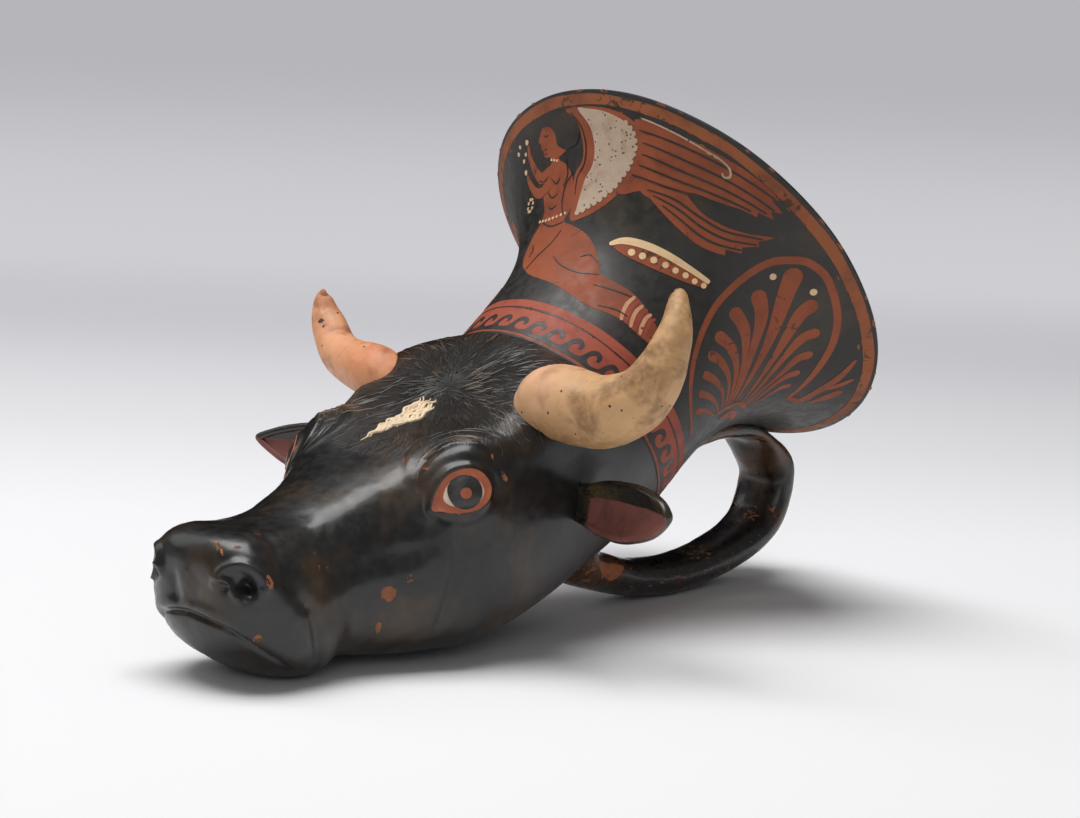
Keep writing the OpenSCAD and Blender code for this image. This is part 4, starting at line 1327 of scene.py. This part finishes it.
def paint_palmettes(clay, cream, black):
    for side, name in ((1, "left_palmette"), (-1, "right_palmette")):
        edge = refined(np.array(PALMETTE_EDGE, float), 3)
        metric = bowl_scale(edge)
        ahead = np.gradient(edge, axis=0) * metric
        ahead /= np.linalg.norm(ahead, axis=1, keepdims=True)
        inward = np.stack([ahead[:, 1], -ahead[:, 0]], 1)
        width = np.interp(np.linspace(0, 1, len(edge)), [0, 0.3, 0.6, 0.9, 1], [1.1, 1.6, 2.1, 1.9, 1.2])
        middle = edge + inward * (width / 2)[:, None] / metric
        line = stroke(middle, width, bowl_scale, 1)
        petals = [flipped(stroke(p, w, bowl_scale), side) for p, w in PETALS]
        tendril = stroke([(132.0, 47.6), (134.5, 50.2), (128.0, 52.9), (121.5, 55.4), (114.0, 57.6)],
            (1.4, 2.5, 2.4, 2.0, 0.8), bowl_scale)
        bud = stroke([(136.0, 52.6), (133.2, 54.4), (129.6, 56.2)], (1.0, 2.8, 2.4), bowl_scale)
        leaf = stroke([(129.0, 52.0), (125.8, 55.6), (122.6, 57.6)], (0.6, 1.8, 1.0), bowl_scale)
        arc = stroke([(114.8, 25.4), (117.2, 29.4), (119.6, 32.6), (124.0, 35.0), (129.6, 36.6)],
            (0.6, 1.2, 1.3, 1.2, 0.6), bowl_scale)
        lobe = stroke([(121.5, 27.4), (123.4, 30.2), (128.0, 32.6), (133.0, 33.2)], (1.2, 2.4, 2.4, 1.0), bowl_scale)
        core = dot((125.0, 30.8), 0.7, bowl_scale)
        slip_on_bowl(name, [[flipped(line, side)] + petals, [flipped(tendril, side)], [flipped(bud, side), flipped(leaf, side)],
            [flipped(arc, side), flipped(lobe, side), flipped(core, side)]], 0.05, clay)
        dots = [flipped(dot((73.6, 49.4), 0.85, bowl_scale), side), flipped(dot((84.8, 53.9), 0.95, bowl_scale), side)]
        slip_on_bowl(name + "_dots", [dots], 0.12, cream)


def paint_figure(clay, deep_clay, white, cream, peach, black):
    layers = [[closed_line(BODY)], [closed_line(WING, 4)], [closed_line(FEATHERS[0], 2)], [closed_line(FEATHERS[1], 2)],
        [closed_line(HEAD, 3)], [stroke(*ARMS[0], bowl_scale)], [stroke(*ARMS[1], bowl_scale)], [closed_line(DISH, 3)]]
    layers.append([stroke([(-47.0, 14.6), (-44.0, 18.0), (-42.6, 22.0)], (1.4, 2.8, 0.8), bowl_scale)])
    layers.append([stroke([(-41.5, 14.4), (-39.0, 17.0), (-36.8, 19.0)], (1.2, 2.4, 0.8), bowl_scale)])
    slip_on_bowl("winged_figure", layers, 0.05, clay)
    lines = [stroke(p, (0.16, 0.34, 0.30, 0.14), bowl_scale) for p in FIGURE_LINES]
    lines.append(stroke([(-11.2, 57.8), (-7.2, 55.4), (-4.9, 52.0), (-5.2, 49.0), (-7.6, 46.6), (-7.2, 43.0)],
        (0.2, 0.4, 0.4, 0.35, 0.3, 0.15), bowl_scale))
    lines += [stroke(quill, (0.22, 0.5, 0.55, 0.5, 0.4), bowl_scale) for quill in QUILLS]
    slip_on_bowl("figure_lines", [lines, [closed_line(HAIR, 3)]], 0.17, black, depth=0.2)
    edge = refined(np.array(WING_WHITE[6:14], float), 8)
    metric = bowl_scale(edge)
    way = np.r_[0, np.cumsum(np.linalg.norm(np.diff(edge, axis=0) * (metric[1:] + metric[:-1]) / 2, axis=1))]
    spots = []
    for k, along in enumerate(np.arange(0.4, way[-1], 1.75)):
        place = np.array([np.interp(along, way, edge[:, 0]), np.interp(along, way, edge[:, 1])])
        spots.append(dot(place, 0.74 + 0.07 * math.sin(k * 2.1), bowl_scale))
    curl = stroke([(13.0, 58.0), (24.0, 57.7), (33.0, 57.5), (38.6, 57.5), (41.8, 57.1), (43.0, 56.2), (41.8, 55.6),
        (40.6, 56.0)], (0.3, 0.35, 0.4, 0.45, 0.55, 0.6, 0.5, 0.3), bowl_scale)
    slip_on_bowl("wing_slip", [[closed_line(WING_WHITE, 4)], spots[::2], spots[1::2], [curl]], 0.16, white)
    grains = [dot(p, 0.92 - 0.03 * k, bowl_scale) for k, p in enumerate(DISH_DOTS)]
    grains += [dot((-41.4 + 1.5 * k, 55.9 - 1.2 * k), 0.55, bowl_scale) for k in (0, 1.6)]
    grains += [dot((-39.2 + 1.5 * k, 56.6 - 1.2 * k), 0.5, bowl_scale) for k in (0, 1.6)]
    for a in range(0, 360, 45):
        grains.append(dot((-38.0 + 2.6 * math.cos(math.radians(a)), 44.6 + 1.3 * math.sin(math.radians(a))),
            0.42, bowl_scale))
    grains += [dot((-26.4 + 2.35 * k, 38.3 - 0.25 * k + 0.05 * k * k), 0.4, bowl_scale) for k in range(8)]
    grains += [dot((-21.6 + 1.5 * k, 50.9 - 0.25 * k), 0.34, bowl_scale) for k in range(3)]
    grains += [dot((-43.6, 19.4), 0.6, bowl_scale), dot((-39.4, 16.6), 0.55, bowl_scale)]
    grains += [dot((-34.4, 56.2), 0.7, bowl_scale), dot((-39.3, 51.9), 0.7, bowl_scale)]
    slip_on_bowl("cream_grains", [grains, [stroke(DISH_RIM, (1.1, 1.9, 1.9, 1.7, 1.1), bowl_scale)]], 0.19, cream)
    pale = []
    dull = []
    for k in range(6):
        turn = 40.5 + 2.6 * k
        band = stroke([(turn + 1.8, 17.9), (turn + 0.4, 19.8), (turn - 0.4, 22.2), (turn + 0.2, 24.6 - 0.25 * k)],
            (0.8, 1.0, 1.0, 0.8), bowl_scale)
        (pale if k % 2 == 0 else dull).append(band)
    slip_on_bowl("anklets", [pale], 0.13, peach)
    slip_on_bowl("anklets_dull", [dull], 0.12, deep_clay)


def paint_eyes(surface, clay, white, black):
    """The painted eyes: a clay lid line, pale corners, a black iris and a clay pupil."""
    for side, name in ((1, "left_eye"), (-1, "right_eye")):
        laid = on_head(surface, side)
        outer = closed_line(LID_OUTER, 4)
        inner = closed_line(LID_INNER, 4)
        for part, layer, lift, material in (
                ("_lid", [outer, inner], 0.22, clay),
                ("_white", [closed_line(LID_OUTER, 4) * 0.88], 0.12, white),
                ("_iris", [dot((0.1, 0.3), 3.9, None, 40), dot((0.0, 0.1), 1.3, None, 20)], 0.27, black),
                ("_pupil", [dot((0.0, 0.1), 1.3, None, 20)], 0.2, clay)):
            piece = flat_fill(name + part, [layer])
            cut_fine(piece, 0.6, 0.6)
            if side < 0:
                pick(piece)
                bpy.ops.object.mode_set(mode="EDIT")
                bpy.ops.mesh.select_all(action="SELECT")
                bpy.ops.mesh.flip_normals()
                bpy.ops.object.mode_set(mode="OBJECT")
            lay_slip(piece, laid, lift, 0.4)
            finish_piece(piece, "head_glaze", material)


# Flakes and scratches of the head's gloss, as place on the left side, radius along and up, lean
CHIPS = [((6.9, -101.6, 32.5), 0.35, 1.6, 0.5), ((8.3, -101.3, 31.2), 0.3, 1.4, 0.6), ((11.1, -99.6, 32.3), 0.9, 0.5, 0.1),
    ((18.0, -96.6, 25.5), 1.2, 1.6, 0.2), ((15.3, -97.0, 12.9), 1.1, 0.9, 0.8), ((21.1, -62.8, 19.0), 1.9, 1.8, 0.0),
    ((19.4, -64.0, 11.2), 0.7, 1.7, 0.1), ((23.2, -58.3, 21.6), 0.9, 0.35, 0.2), ((29.6, -35.5, 44.0), 0.6, 1.3, 0.5),
    ((28.3, -38.2, 48.6), 0.35, 0.9, 0.2), ((20.8, -52.4, 47.2), 0.9, 0.4, 0.4), ((-15.0, -97.0, 14.0), 1.0, 0.8, 0.4)]


def chip_head(surface, clay):
    luck = np.random.default_rng(5)
    parts = []
    for k, (place, wide, tall, lean) in enumerate(CHIPS):
        a = np.arange(14) * 2 * math.pi / 14
        ragged = luck.uniform(0.72, 1.12, 14)
        outline = np.stack([wide * np.cos(a) * ragged, tall * np.sin(a) * ragged], 1)
        piece = flat_fill(f"flake_{k + 1:02d}", [[closed_line(outline, 2)]])
        cut_fine(piece, 0.7, 0.7)
        lay_slip(piece, beside(surface, place, lean), 0.03, 0.2)
        parts.append(piece)
    pick(*parts)
    bpy.ops.object.join()
    piece = bpy.context.active_object
    piece.name = piece.data.name = "head_flakes"
    finish_piece(piece, "head_glaze", clay)


def chip_horn(horn, name, place, wide, tall, lean, material):
    """A flake off a horn's slip, ragged round its edge."""
    luck = np.random.default_rng(17)
    a = np.arange(14) * 2 * math.pi / 14
    ragged = luck.uniform(0.65, 1.1, 14)
    outline = np.stack([wide * np.cos(a) * ragged, tall * np.sin(a) * ragged], 1)
    piece = flat_fill(name, [[closed_line(outline, 2)]])
    cut_fine(piece, 0.6, 0.6)
    lay_slip(piece, beside(surface_of(horn), place, lean), 0.04, 0.2)
    finish_piece(piece, "horn_slip", material)


def bare_patch(handle):
    """Where the gloss never covered the strap's root: a shield of bare clay, with a few worn spots behind."""
    clay = bare_clay("Clay On The Strap", rgb(172, 104, 64), rgb(150, 86, 54), rgb(60, 44, 34), smudges=0.62)
    surface = surface_of(handle)
    shield = [(-5.6, 3.2), (-1.5, 4.0), (3.0, 3.9), (6.2, 3.0), (5.2, 0.4), (2.4, -2.6), (-0.6, -4.6), (-3.0, -2.8),
        (-5.0, -0.2)]
    luck = np.random.default_rng(3)
    parts = [("shield", closed_line(shield, 3), (11.5, 29.6, 10.8))]
    for k in range(5):
        a = np.arange(9) * 2 * math.pi / 9
        size = luck.uniform(0.35, 1.0)
        spot = np.stack([size * 1.5 * np.cos(a), size * 0.7 * np.sin(a)], 1) * luck.uniform(0.7, 1.1, (9, 1))
        parts.append((f"spot_{k}", spot, (11.5, 38 + 5.6 * k + luck.uniform(-2, 2), 3.2 + 0.012 * (5.6 * k) ** 2 * 0.9)))
    pieces = []
    for name, outline, place in parts:
        piece = flat_fill(name, [[outline]])
        cut_fine(piece, 0.8, 0.8)
        lay_slip(piece, beside(surface, place), 0.03, 0.2)
        pieces.append(piece)
    pick(*pieces)
    bpy.ops.object.join()
    piece = bpy.context.active_object
    piece.name = piece.data.name = "strap_bare_clay"
    finish_piece(piece, "handle_glaze", clay)


# Finishes of the pieces


def head_black():
    return black_gloss("Black Gloss On Head", rgb(34, 33, 32), rgb(66, 51, 34), rgb(150, 92, 58),
        start=0.48, full=0.72, flecks=0.78, rough=(0.3, 0.38), coat=0.2, combed=True, relief=0.06)


def bowl_black():
    return black_gloss("Black Gloss On Bowl", rgb(46, 43, 39), rgb(66, 54, 38), rgb(150, 92, 58),
        start=0.5, full=0.75, flecks=0.79, rough=(0.42, 0.56), coat=0.05, relief=0.05)


def handle_black():
    return black_gloss("Worn Black Gloss", rgb(40, 37, 35), rgb(92, 62, 36), rgb(160, 104, 66),
        start=0.48, full=0.66, flecks=0.66, grouping=0.7, rough=(0.26, 0.42), coat=0.25,
        fleck_scale=520.0, relief=0.07)


def reserved_clay(name="Reserved Clay", clay=rgb(153, 80, 50), deep=rgb(128, 66, 44)):
    return bare_clay(name, clay, deep, rgb(70, 50, 38))


def ear_skin():
    """Black gloss on the ear's back and rim, dull red slip in its hollow."""
    material = black_gloss("Ear Gloss And Red Slip", rgb(46, 42, 36), rgb(84, 68, 42), rgb(130, 80, 60),
        start=0.44, full=0.66, flecks=0.8, rough=(0.26, 0.38), coat=0.3, relief=0.06)
    tree = material.node_tree
    shader = next(n for n in tree.nodes if n.type == "BSDF_PRINCIPLED")
    where = next(n for n in tree.nodes if n.type == "TEX_COORD").outputs["Object"]
    inner = add_node(tree, "ShaderNodeAttribute", attribute_type="GEOMETRY", attribute_name="hollow")
    ragged = ranged(tree, reckon(tree, "ADD", inner.outputs["Fac"], reckon(tree, "MULTIPLY",
        reckon(tree, "SUBTRACT", noise_node(tree, where, 300.0, 3), 0.5), 0.5)), 0.4, 0.6)
    mottle = use_group(tree, "Kiln Mottle", where, Patch_Scale=140.0, Patch_Start=0.42, Patch_Full=0.66)
    red = blended(tree, mottle.outputs["Patches"], rgb(134, 80, 72), rgb(106, 64, 58))
    red = blended(tree, reckon(tree, "MULTIPLY", mottle.outputs["Cloud"], 0.3), red, rgb(140, 88, 78))
    for socket, value in (("Base Color", red), ("Roughness", 0.62), ("Coat Weight", 0.0)):
        old = shader.inputs[socket].links[0].from_socket
        if socket == "Base Color":
            feed(tree, blended(tree, ragged, old, value), shader.inputs[socket])
        else:
            feed(tree, ranged(tree, ragged, 0.0, 1.0, old, value), shader.inputs[socket])
    return material


# Stage


def floor_material():
    """Pale paper with painted shade, lighter near the camera and greyer where it sweeps up behind, where camera rays
    see a painted grey glow in place of lit paper.
    """
    material, tree, shader, where = open_material("Pale Paper With Painted Shade And Glow")
    split = add_node(tree, "ShaderNodeSeparateXYZ")
    feed(tree, where, split.inputs["Vector"])
    depth = reckon(tree, "ADD", reckon(tree, "MULTIPLY", split.outputs["X"], -0.666),
        reckon(tree, "MULTIPLY", split.outputs["Y"], 0.745))
    # Base colour with painted shade: near white by the camera and darker with depth
    ramp = add_node(tree, "ShaderNodeValToRGB")
    ramp.color_ramp.elements[0].position = 0.0
    ramp.color_ramp.elements[0].color = rgb(250, 250, 251)
    ramp.color_ramp.elements[1].position = 1.0
    ramp.color_ramp.elements[1].color = rgb(205, 205, 210)
    for place, colour in ((0.25, rgb(249, 249, 251)), (0.45, rgb(236, 236, 239)), (0.65, rgb(231, 231, 235))):
        ramp.color_ramp.elements.new(place).color = colour
    feed(tree, ranged(tree, depth, -0.25, 0.9), ramp.inputs["Fac"])
    # Painted glow of the sweep behind: a grey gradient, darker further up, shown to camera rays as emission
    far = add_node(tree, "ShaderNodeValToRGB")
    far.color_ramp.elements[0].position = 0.0
    far.color_ramp.elements[0].color = rgb(206, 205, 210)
    far.color_ramp.elements[1].position = 1.0
    far.color_ramp.elements[1].color = rgb(181, 181, 186)
    for place, colour in ((0.3, rgb(195, 194, 199)), (0.62, rgb(186, 186, 191))):
        far.color_ramp.elements.new(place).color = colour
    feed(tree, ranged(tree, depth, 0.7, 3.6), far.inputs["Fac"])
    seen = add_node(tree, "ShaderNodeLightPath")
    # Where the sweep rises, the paper is black and camera rays see only the painted glow
    backdrop_glow_share = ranged(tree, depth, 0.3, 0.85)
    feed(tree, blended(tree, reckon(tree, "MULTIPLY", backdrop_glow_share, seen.outputs["Is Camera Ray"]), rgb(0, 0, 0),
        far.outputs["Color"]), shader.inputs["Emission Color"])
    shader.inputs["Emission Strength"].default_value = 1.0
    grain = noise_node(tree, where, 600.0, 2)
    paper = blended(tree, reckon(tree, "MULTIPLY", grain, 0.02), ramp.outputs["Color"], rgb(200, 200, 204))
    feed(tree, blended(tree, backdrop_glow_share, paper, rgb(0, 0, 0)), shader.inputs["Base Color"])
    shader.inputs["Roughness"].default_value = 0.9
    shader.inputs["Specular IOR Level"].default_value = 0.1
    return material


def set_stage(settings):
    """The paper sweep, the lamps, the world and the camera at the photograph's angle."""
    put_down()
    bpy.ops.mesh.primitive_plane_add(size=1.0, location=(0, 0, -0.0001))
    sweep = bpy.context.active_object
    sweep.name = "paper_sweep"
    ahead = np.array([-0.666, 0.745])
    across = np.array([0.745, 0.666])
    corners = [(-5, -7), (-5, 7), (3.4, -7), (3.4, 7)]
    order = sorted(sweep.data.vertices, key=lambda v: (v.co.y, v.co.x))
    for corner, (far, wide) in zip(order, corners):
        place = ahead * far + across * wide
        corner.co = (place[0], place[1], 0)
    bpy.ops.object.mode_set(mode="EDIT")
    mesh = bmesh.from_edit_mesh(sweep.data)
    for piece in list(mesh.verts) + list(mesh.edges) + list(mesh.faces):
        piece.select = False
    edge = max(mesh.edges, key=lambda e: sum((v.co.x * ahead[0] + v.co.y * ahead[1]) for v in e.verts))
    edge.select_set(True)
    bmesh.update_edit_mesh(sweep.data)
    for k in range(10):
        a = math.radians(4.5 + 9 * k)
        step = 0.155
        bpy.ops.mesh.extrude_region_move(TRANSFORM_OT_translate={"value": (ahead[0] * step * math.cos(a),
            ahead[1] * step * math.cos(a), step * math.sin(a))})
    bpy.ops.mesh.extrude_region_move(TRANSFORM_OT_translate={"value": (0, 0, 2.5)})
    bpy.ops.object.mode_set(mode="OBJECT")
    pick(sweep)
    bpy.ops.object.transform_apply(location=True, rotation=True, scale=True)
    shade(sweep, 60)
    sweep.data.materials.append(floor_material())

    def lamp(name, place, aim, size, power, colour=(1, 1, 1)):
        put_down()
        bpy.ops.object.light_add(type="AREA", location=place)
        light = bpy.context.active_object
        light.name = name
        light.data.shape = "RECTANGLE"
        light.data.size, light.data.size_y = size
        light.data.energy = power
        light.data.color = colour
        way = Vector(aim) - Vector(place)
        light.rotation_euler = way.to_track_quat("-Z", "Y").to_euler()
        return light

    lamp("overhead_softbox", (-0.12, -0.14, 1.15), (0, 0, 0), (0.65, 1.0), settings.overhead_power)
    lamp("left_softbox", (-1.05, -0.35, 0.85), (0, -0.02, 0.04), (0.5, 0.9), settings.left_power)
    lamp("front_fill", (1.2, -1.3, 0.75), (0, 0, 0.05), (0.9, 0.9), settings.fill_power)
    world = bpy.data.worlds.new("Studio Air")
    bpy.context.scene.world = world
    world.use_nodes = True
    world.node_tree.nodes["Background"].inputs["Color"].default_value = (1, 1, 1.01, 1)
    world.node_tree.nodes["Background"].inputs["Strength"].default_value = settings.air_strength

    put_down()
    bpy.ops.object.camera_add(location=(0.481712, -0.530140, 0.161263))
    camera = bpy.context.active_object
    camera.name = "photograph_camera"
    right = Vector((0.740961, 0.670357, 0.039978))
    up = Vector((-0.129799, 0.084553, 0.987929))
    back = Vector((0.658885, -0.737206, 0.149662))
    turned = Matrix((right, up, back)).transposed()
    camera.rotation_euler = turned.to_euler()
    camera.data.sensor_fit = "HORIZONTAL"
    camera.data.sensor_width = 36
    camera.data.lens = 100
    camera.data.clip_start = 0.01
    camera.data.clip_end = 50
    bpy.context.scene.camera = camera
    bpy.context.scene.view_settings.view_transform = "Standard"


# Settings that a user would change


class RhytonSettings(bpy.types.PropertyGroup):
    brow_relief: FloatProperty(name="Brow Relief", description="How far the brow's ridges stand out",
        default=1.0, min=0.0, max=2.0)
    unevenness: FloatProperty(name="Unevenness", description="Unevenness that the modeller's hands left",
        default=1.0, min=0.0, max=3.0)
    hair_strands: IntProperty(name="Hair Strands", description="Number of raised strands on the poll",
        default=520, min=0, max=1500)
    bowl_steps: IntProperty(name="Bowl Steps", description="Faces round the bowl", default=192, min=48, max=360)
    horn_thickness: FloatProperty(name="Horn Thickness", description="Thickness of a horn at its root",
        default=0.018, min=0.012, max=0.022, unit="LENGTH")
    ear_hollow: FloatProperty(name="Ear Hollow", description="Depth of the hollow of an ear",
        default=0.0034, min=0.001, max=0.005, unit="LENGTH")
    strap_width: FloatProperty(name="Strap Width", description="Width of the handle's strap",
        default=0.015, min=0.01, max=0.02, unit="LENGTH")
    near_horn_slip: FloatVectorProperty(name="Left Horn Slip", description="Colour of the left horn's slip",
        subtype="COLOR", size=3, min=0.0, max=1.0, default=rgb(206, 162, 114)[:3])
    far_horn_slip: FloatVectorProperty(name="Right Horn Slip", description="Colour of the right horn's slip",
        subtype="COLOR", size=3, min=0.0, max=1.0, default=rgb(228, 164, 120)[:3])


class StageSettings(bpy.types.PropertyGroup):
    overhead_power: FloatProperty(name="Overhead Softbox", description="Power of the softbox above",
        default=12.5, min=0.0, unit="POWER")
    left_power: FloatProperty(name="Left Softbox", description="Power of the softbox on the left",
        default=1.6, min=0.0, unit="POWER")
    fill_power: FloatProperty(name="Front Fill", description="Power of the fill by the camera",
        default=2.6, min=0.0, unit="POWER")
    air_strength: FloatProperty(name="Air", description="Strength of the light from all round",
        default=0.16, min=0.0, max=2.0)


def cup():
    return bpy.context.scene.rhyton


# Operators


class RHYTON_OT_stage(bpy.types.Operator):
    """Sets up the paper sweep, the lamps and the camera"""
    bl_idname = "rhyton.stage"
    bl_label = "Stage"

    def execute(self, context):
        set_stage(context.scene.rhyton_stage)
        return {"FINISHED"}


class RHYTON_OT_bowl(bpy.types.Operator):
    """Throws the flaring bowl with its collar and spigot"""
    bl_idname = "rhyton.bowl"
    bl_label = "Bowl"

    def execute(self, context):
        finish_piece(model_bowl(cup()), "bowl_glaze", bowl_black(), "bowl")
        return {"FINISHED"}


class RHYTON_OT_head(bpy.types.Operator):
    """Models the bull's head, its features and its hollow"""
    bl_idname = "rhyton.head"
    bl_label = "Head"

    def execute(self, context):
        finish_piece(model_head(cup()), "head_glaze", head_black(), "head_left_half", "head_right_half")
        return {"FINISHED"}


class RHYTON_OT_hair(bpy.types.Operator):
    """Lays the raised strands on the poll and the brows, and the cream lock on the forehead"""
    bl_idname = "rhyton.hair"
    bl_label = "Hair"

    def execute(self, context):
        surface = surface_of(bpy.data.objects["moulded_head"])
        black = black_gloss("Black Gloss On Strands", rgb(52, 48, 42), rgb(110, 84, 60), rgb(140, 90, 60),
            start=0.46, full=0.6, flecks=0.75, rough=(0.36, 0.48), coat=0.1)
        lay_strands("poll_strands", hair_paths(surface, cup().hair_strands, 7), black, "head_glaze")
        brows = brow_paths(surface, 1, 8) + brow_paths(surface, -1, 9)
        lay_strands("brow_strands", brows, black, "head_glaze")
        cream = pitted_slip("Cream Slip", rgb(240, 214, 180), rgb(226, 190, 146), rgb(120, 88, 62),
            stain_start=0.6, holes=0.1)
        lay_strands("forelock_mark", forelock_paths(surface), cream, "head_glaze", corners=1)
        return {"FINISHED"}


class RHYTON_OT_horns(bpy.types.Operator):
    """Rolls the two horns and coats them with pale slip"""
    bl_idname = "rhyton.horns"
    bl_label = "Horns"

    def execute(self, context):
        slips = {
            "left_horn": pitted_slip("Ochre Horn Slip", tuple(cup().near_horn_slip) + (1.0,), rgb(146, 108, 70),
                rgb(64, 48, 38), stain_start=0.43, holes=0.3, spacing=420.0, size=0.17, rough=(0.42, 0.6),
                relief=0.05, warm=rgb(244, 186, 148)),
            "right_horn": pitted_slip("Peach Horn Slip", tuple(cup().far_horn_slip) + (1.0,), rgb(158, 94, 68),
                rgb(60, 44, 38), stain_start=0.5, holes=0.25, spacing=420.0, size=0.17, rough=(0.42, 0.6),
                relief=0.05, warm=rgb(214, 132, 90)),
        }
        for name, slip in slips.items():
            finish_piece(model_horn(name, cup()), "horn_slip", slip, name)
        dark = bare_clay("Dark Chip Of The Horns", rgb(74, 62, 58), rgb(52, 46, 46), rgb(120, 84, 60), smudges=0.56)
        chip_horn(bpy.data.objects["right_horn_slipped"], "right_horn_chip", (-53.4, -16.0, 70.0), 1.3, 0.8, 0.6,
            dark)
        chip_horn(bpy.data.objects["left_horn_slipped"], "left_horn_chip", (56.0, -13.0, 84.6), 0.5, 1.8, -0.2,
            bare_clay("Worn Tip Of The Horn", rgb(150, 120, 92), rgb(120, 96, 76), rgb(90, 70, 56)))
        return {"FINISHED"}


class RHYTON_OT_ears(bpy.types.Operator):
    """Models the two ears with their rolled rims"""
    bl_idname = "rhyton.ears"
    bl_label = "Ears"

    def execute(self, context):
        skin = ear_skin()
        for name, side in (("left_ear", 1), ("right_ear", -1)):
            finish_piece(model_ear(name + "_leaf", side, cup()), "ear_clay", skin, name)
        return {"FINISHED"}


class RHYTON_OT_handle(bpy.types.Operator):
    """Draws the strap handle and presses it on the bowl"""
    bl_idname = "rhyton.handle"
    bl_label = "Handle"

    def execute(self, context):
        handle = model_handle(cup())
        finish_piece(handle, "handle_glaze", handle_black(), "handle")
        bare_patch(handle)
        return {"FINISHED"}


class RHYTON_OT_painting(bpy.types.Operator):
    """Paints the bowl: rim line, wave band, palmettes and the winged figure with its dish"""
    bl_idname = "rhyton.painting"
    bl_label = "Painting"

    def execute(self, context):
        clay = reserved_clay()
        deep = reserved_clay("Reserved Clay Of The Collar", rgb(166, 82, 60), rgb(140, 62, 50))
        black = bowl_black()
        cream = pitted_slip("Cream Dots Slip", rgb(232, 198, 152), rgb(206, 164, 118), rgb(96, 66, 46),
            stain_start=0.56, holes=0.15)
        white = pitted_slip("White Wing Slip", rgb(188, 166, 144), rgb(170, 140, 114), rgb(84, 60, 48),
            stain_start=0.5, holes=0.7, spacing=900.0, size=0.26)
        rim = bare_clay("Reserved Clay Of The Rim", rgb(156, 90, 54), rgb(124, 70, 44), rgb(60, 46, 34),
            smudges=0.6)
        paint_bands(rim, deep, black)
        paint_palmettes(clay, cream, black)
        peach = pitted_slip("Peach Anklet Slip", rgb(206, 150, 114), rgb(180, 112, 80), rgb(96, 60, 44),
            stain_start=0.46, holes=0.1)
        paint_figure(clay, deep, white, cream, peach, black)
        return {"FINISHED"}


class RHYTON_OT_eyes(bpy.types.Operator):
    """Paints the two eyes and flakes the gloss of the head"""
    bl_idname = "rhyton.eyes"
    bl_label = "Eyes"

    def execute(self, context):
        surface = surface_of(bpy.data.objects["moulded_head"])
        clay = reserved_clay("Reserved Clay Of The Eyes", rgb(184, 104, 74), rgb(156, 84, 60))
        white = pitted_slip("Pale Eye Slip", rgb(214, 192, 170), rgb(176, 130, 100), rgb(84, 60, 46),
            stain_start=0.5, holes=0.1)
        iris = black_gloss("Black Gloss Of The Iris", rgb(52, 50, 49), rgb(60, 52, 44), rgb(150, 92, 58),
            start=0.6, full=0.8, flecks=0.8, rough=(0.34, 0.46), coat=0.2)
        paint_eyes(surface, clay, white, iris)
        flake = bare_clay("Clay In The Flakes", rgb(158, 100, 66), rgb(124, 76, 50), rgb(60, 44, 34), smudges=0.58)
        chip_head(surface, flake)
        return {"FINISHED"}


class VIEW3D_PT_rhyton(bpy.types.Panel):
    """Lists the rhyton's pieces and its stage"""
    bl_label = "Rhyton"
    bl_space_type = "VIEW_3D"
    bl_region_type = "UI"
    bl_category = "Rhyton"

    def draw(self, context):
        layout = self.layout
        for settings in (context.scene.rhyton, context.scene.rhyton_stage):
            box = layout.box()
            for name in settings.__annotations__:
                box.prop(settings, name)
        for operator in OPERATORS:
            layout.operator(operator.bl_idname)


OPERATORS = (RHYTON_OT_stage, RHYTON_OT_bowl, RHYTON_OT_head, RHYTON_OT_hair, RHYTON_OT_horns, RHYTON_OT_ears,
    RHYTON_OT_handle, RHYTON_OT_painting, RHYTON_OT_eyes)
CLASSES = (RhytonSettings, StageSettings) + OPERATORS + (VIEW3D_PT_rhyton,)


def register():
    for kind in CLASSES:
        bpy.utils.register_class(kind)
    bpy.types.Scene.rhyton = PointerProperty(type=RhytonSettings)
    bpy.types.Scene.rhyton_stage = PointerProperty(type=StageSettings)


def unregister():
    del bpy.types.Scene.rhyton_stage
    del bpy.types.Scene.rhyton
    for kind in reversed(CLASSES):
        bpy.utils.unregister_class(kind)


def main():
    register()
    bpy.ops.rhyton.stage()
    bpy.ops.rhyton.bowl()
    bpy.ops.rhyton.head()
    bpy.ops.rhyton.hair()
    bpy.ops.rhyton.horns()
    bpy.ops.rhyton.ears()
    bpy.ops.rhyton.handle()
    bpy.ops.rhyton.painting()
    bpy.ops.rhyton.eyes()


if __name__ == "__main__":
    main()
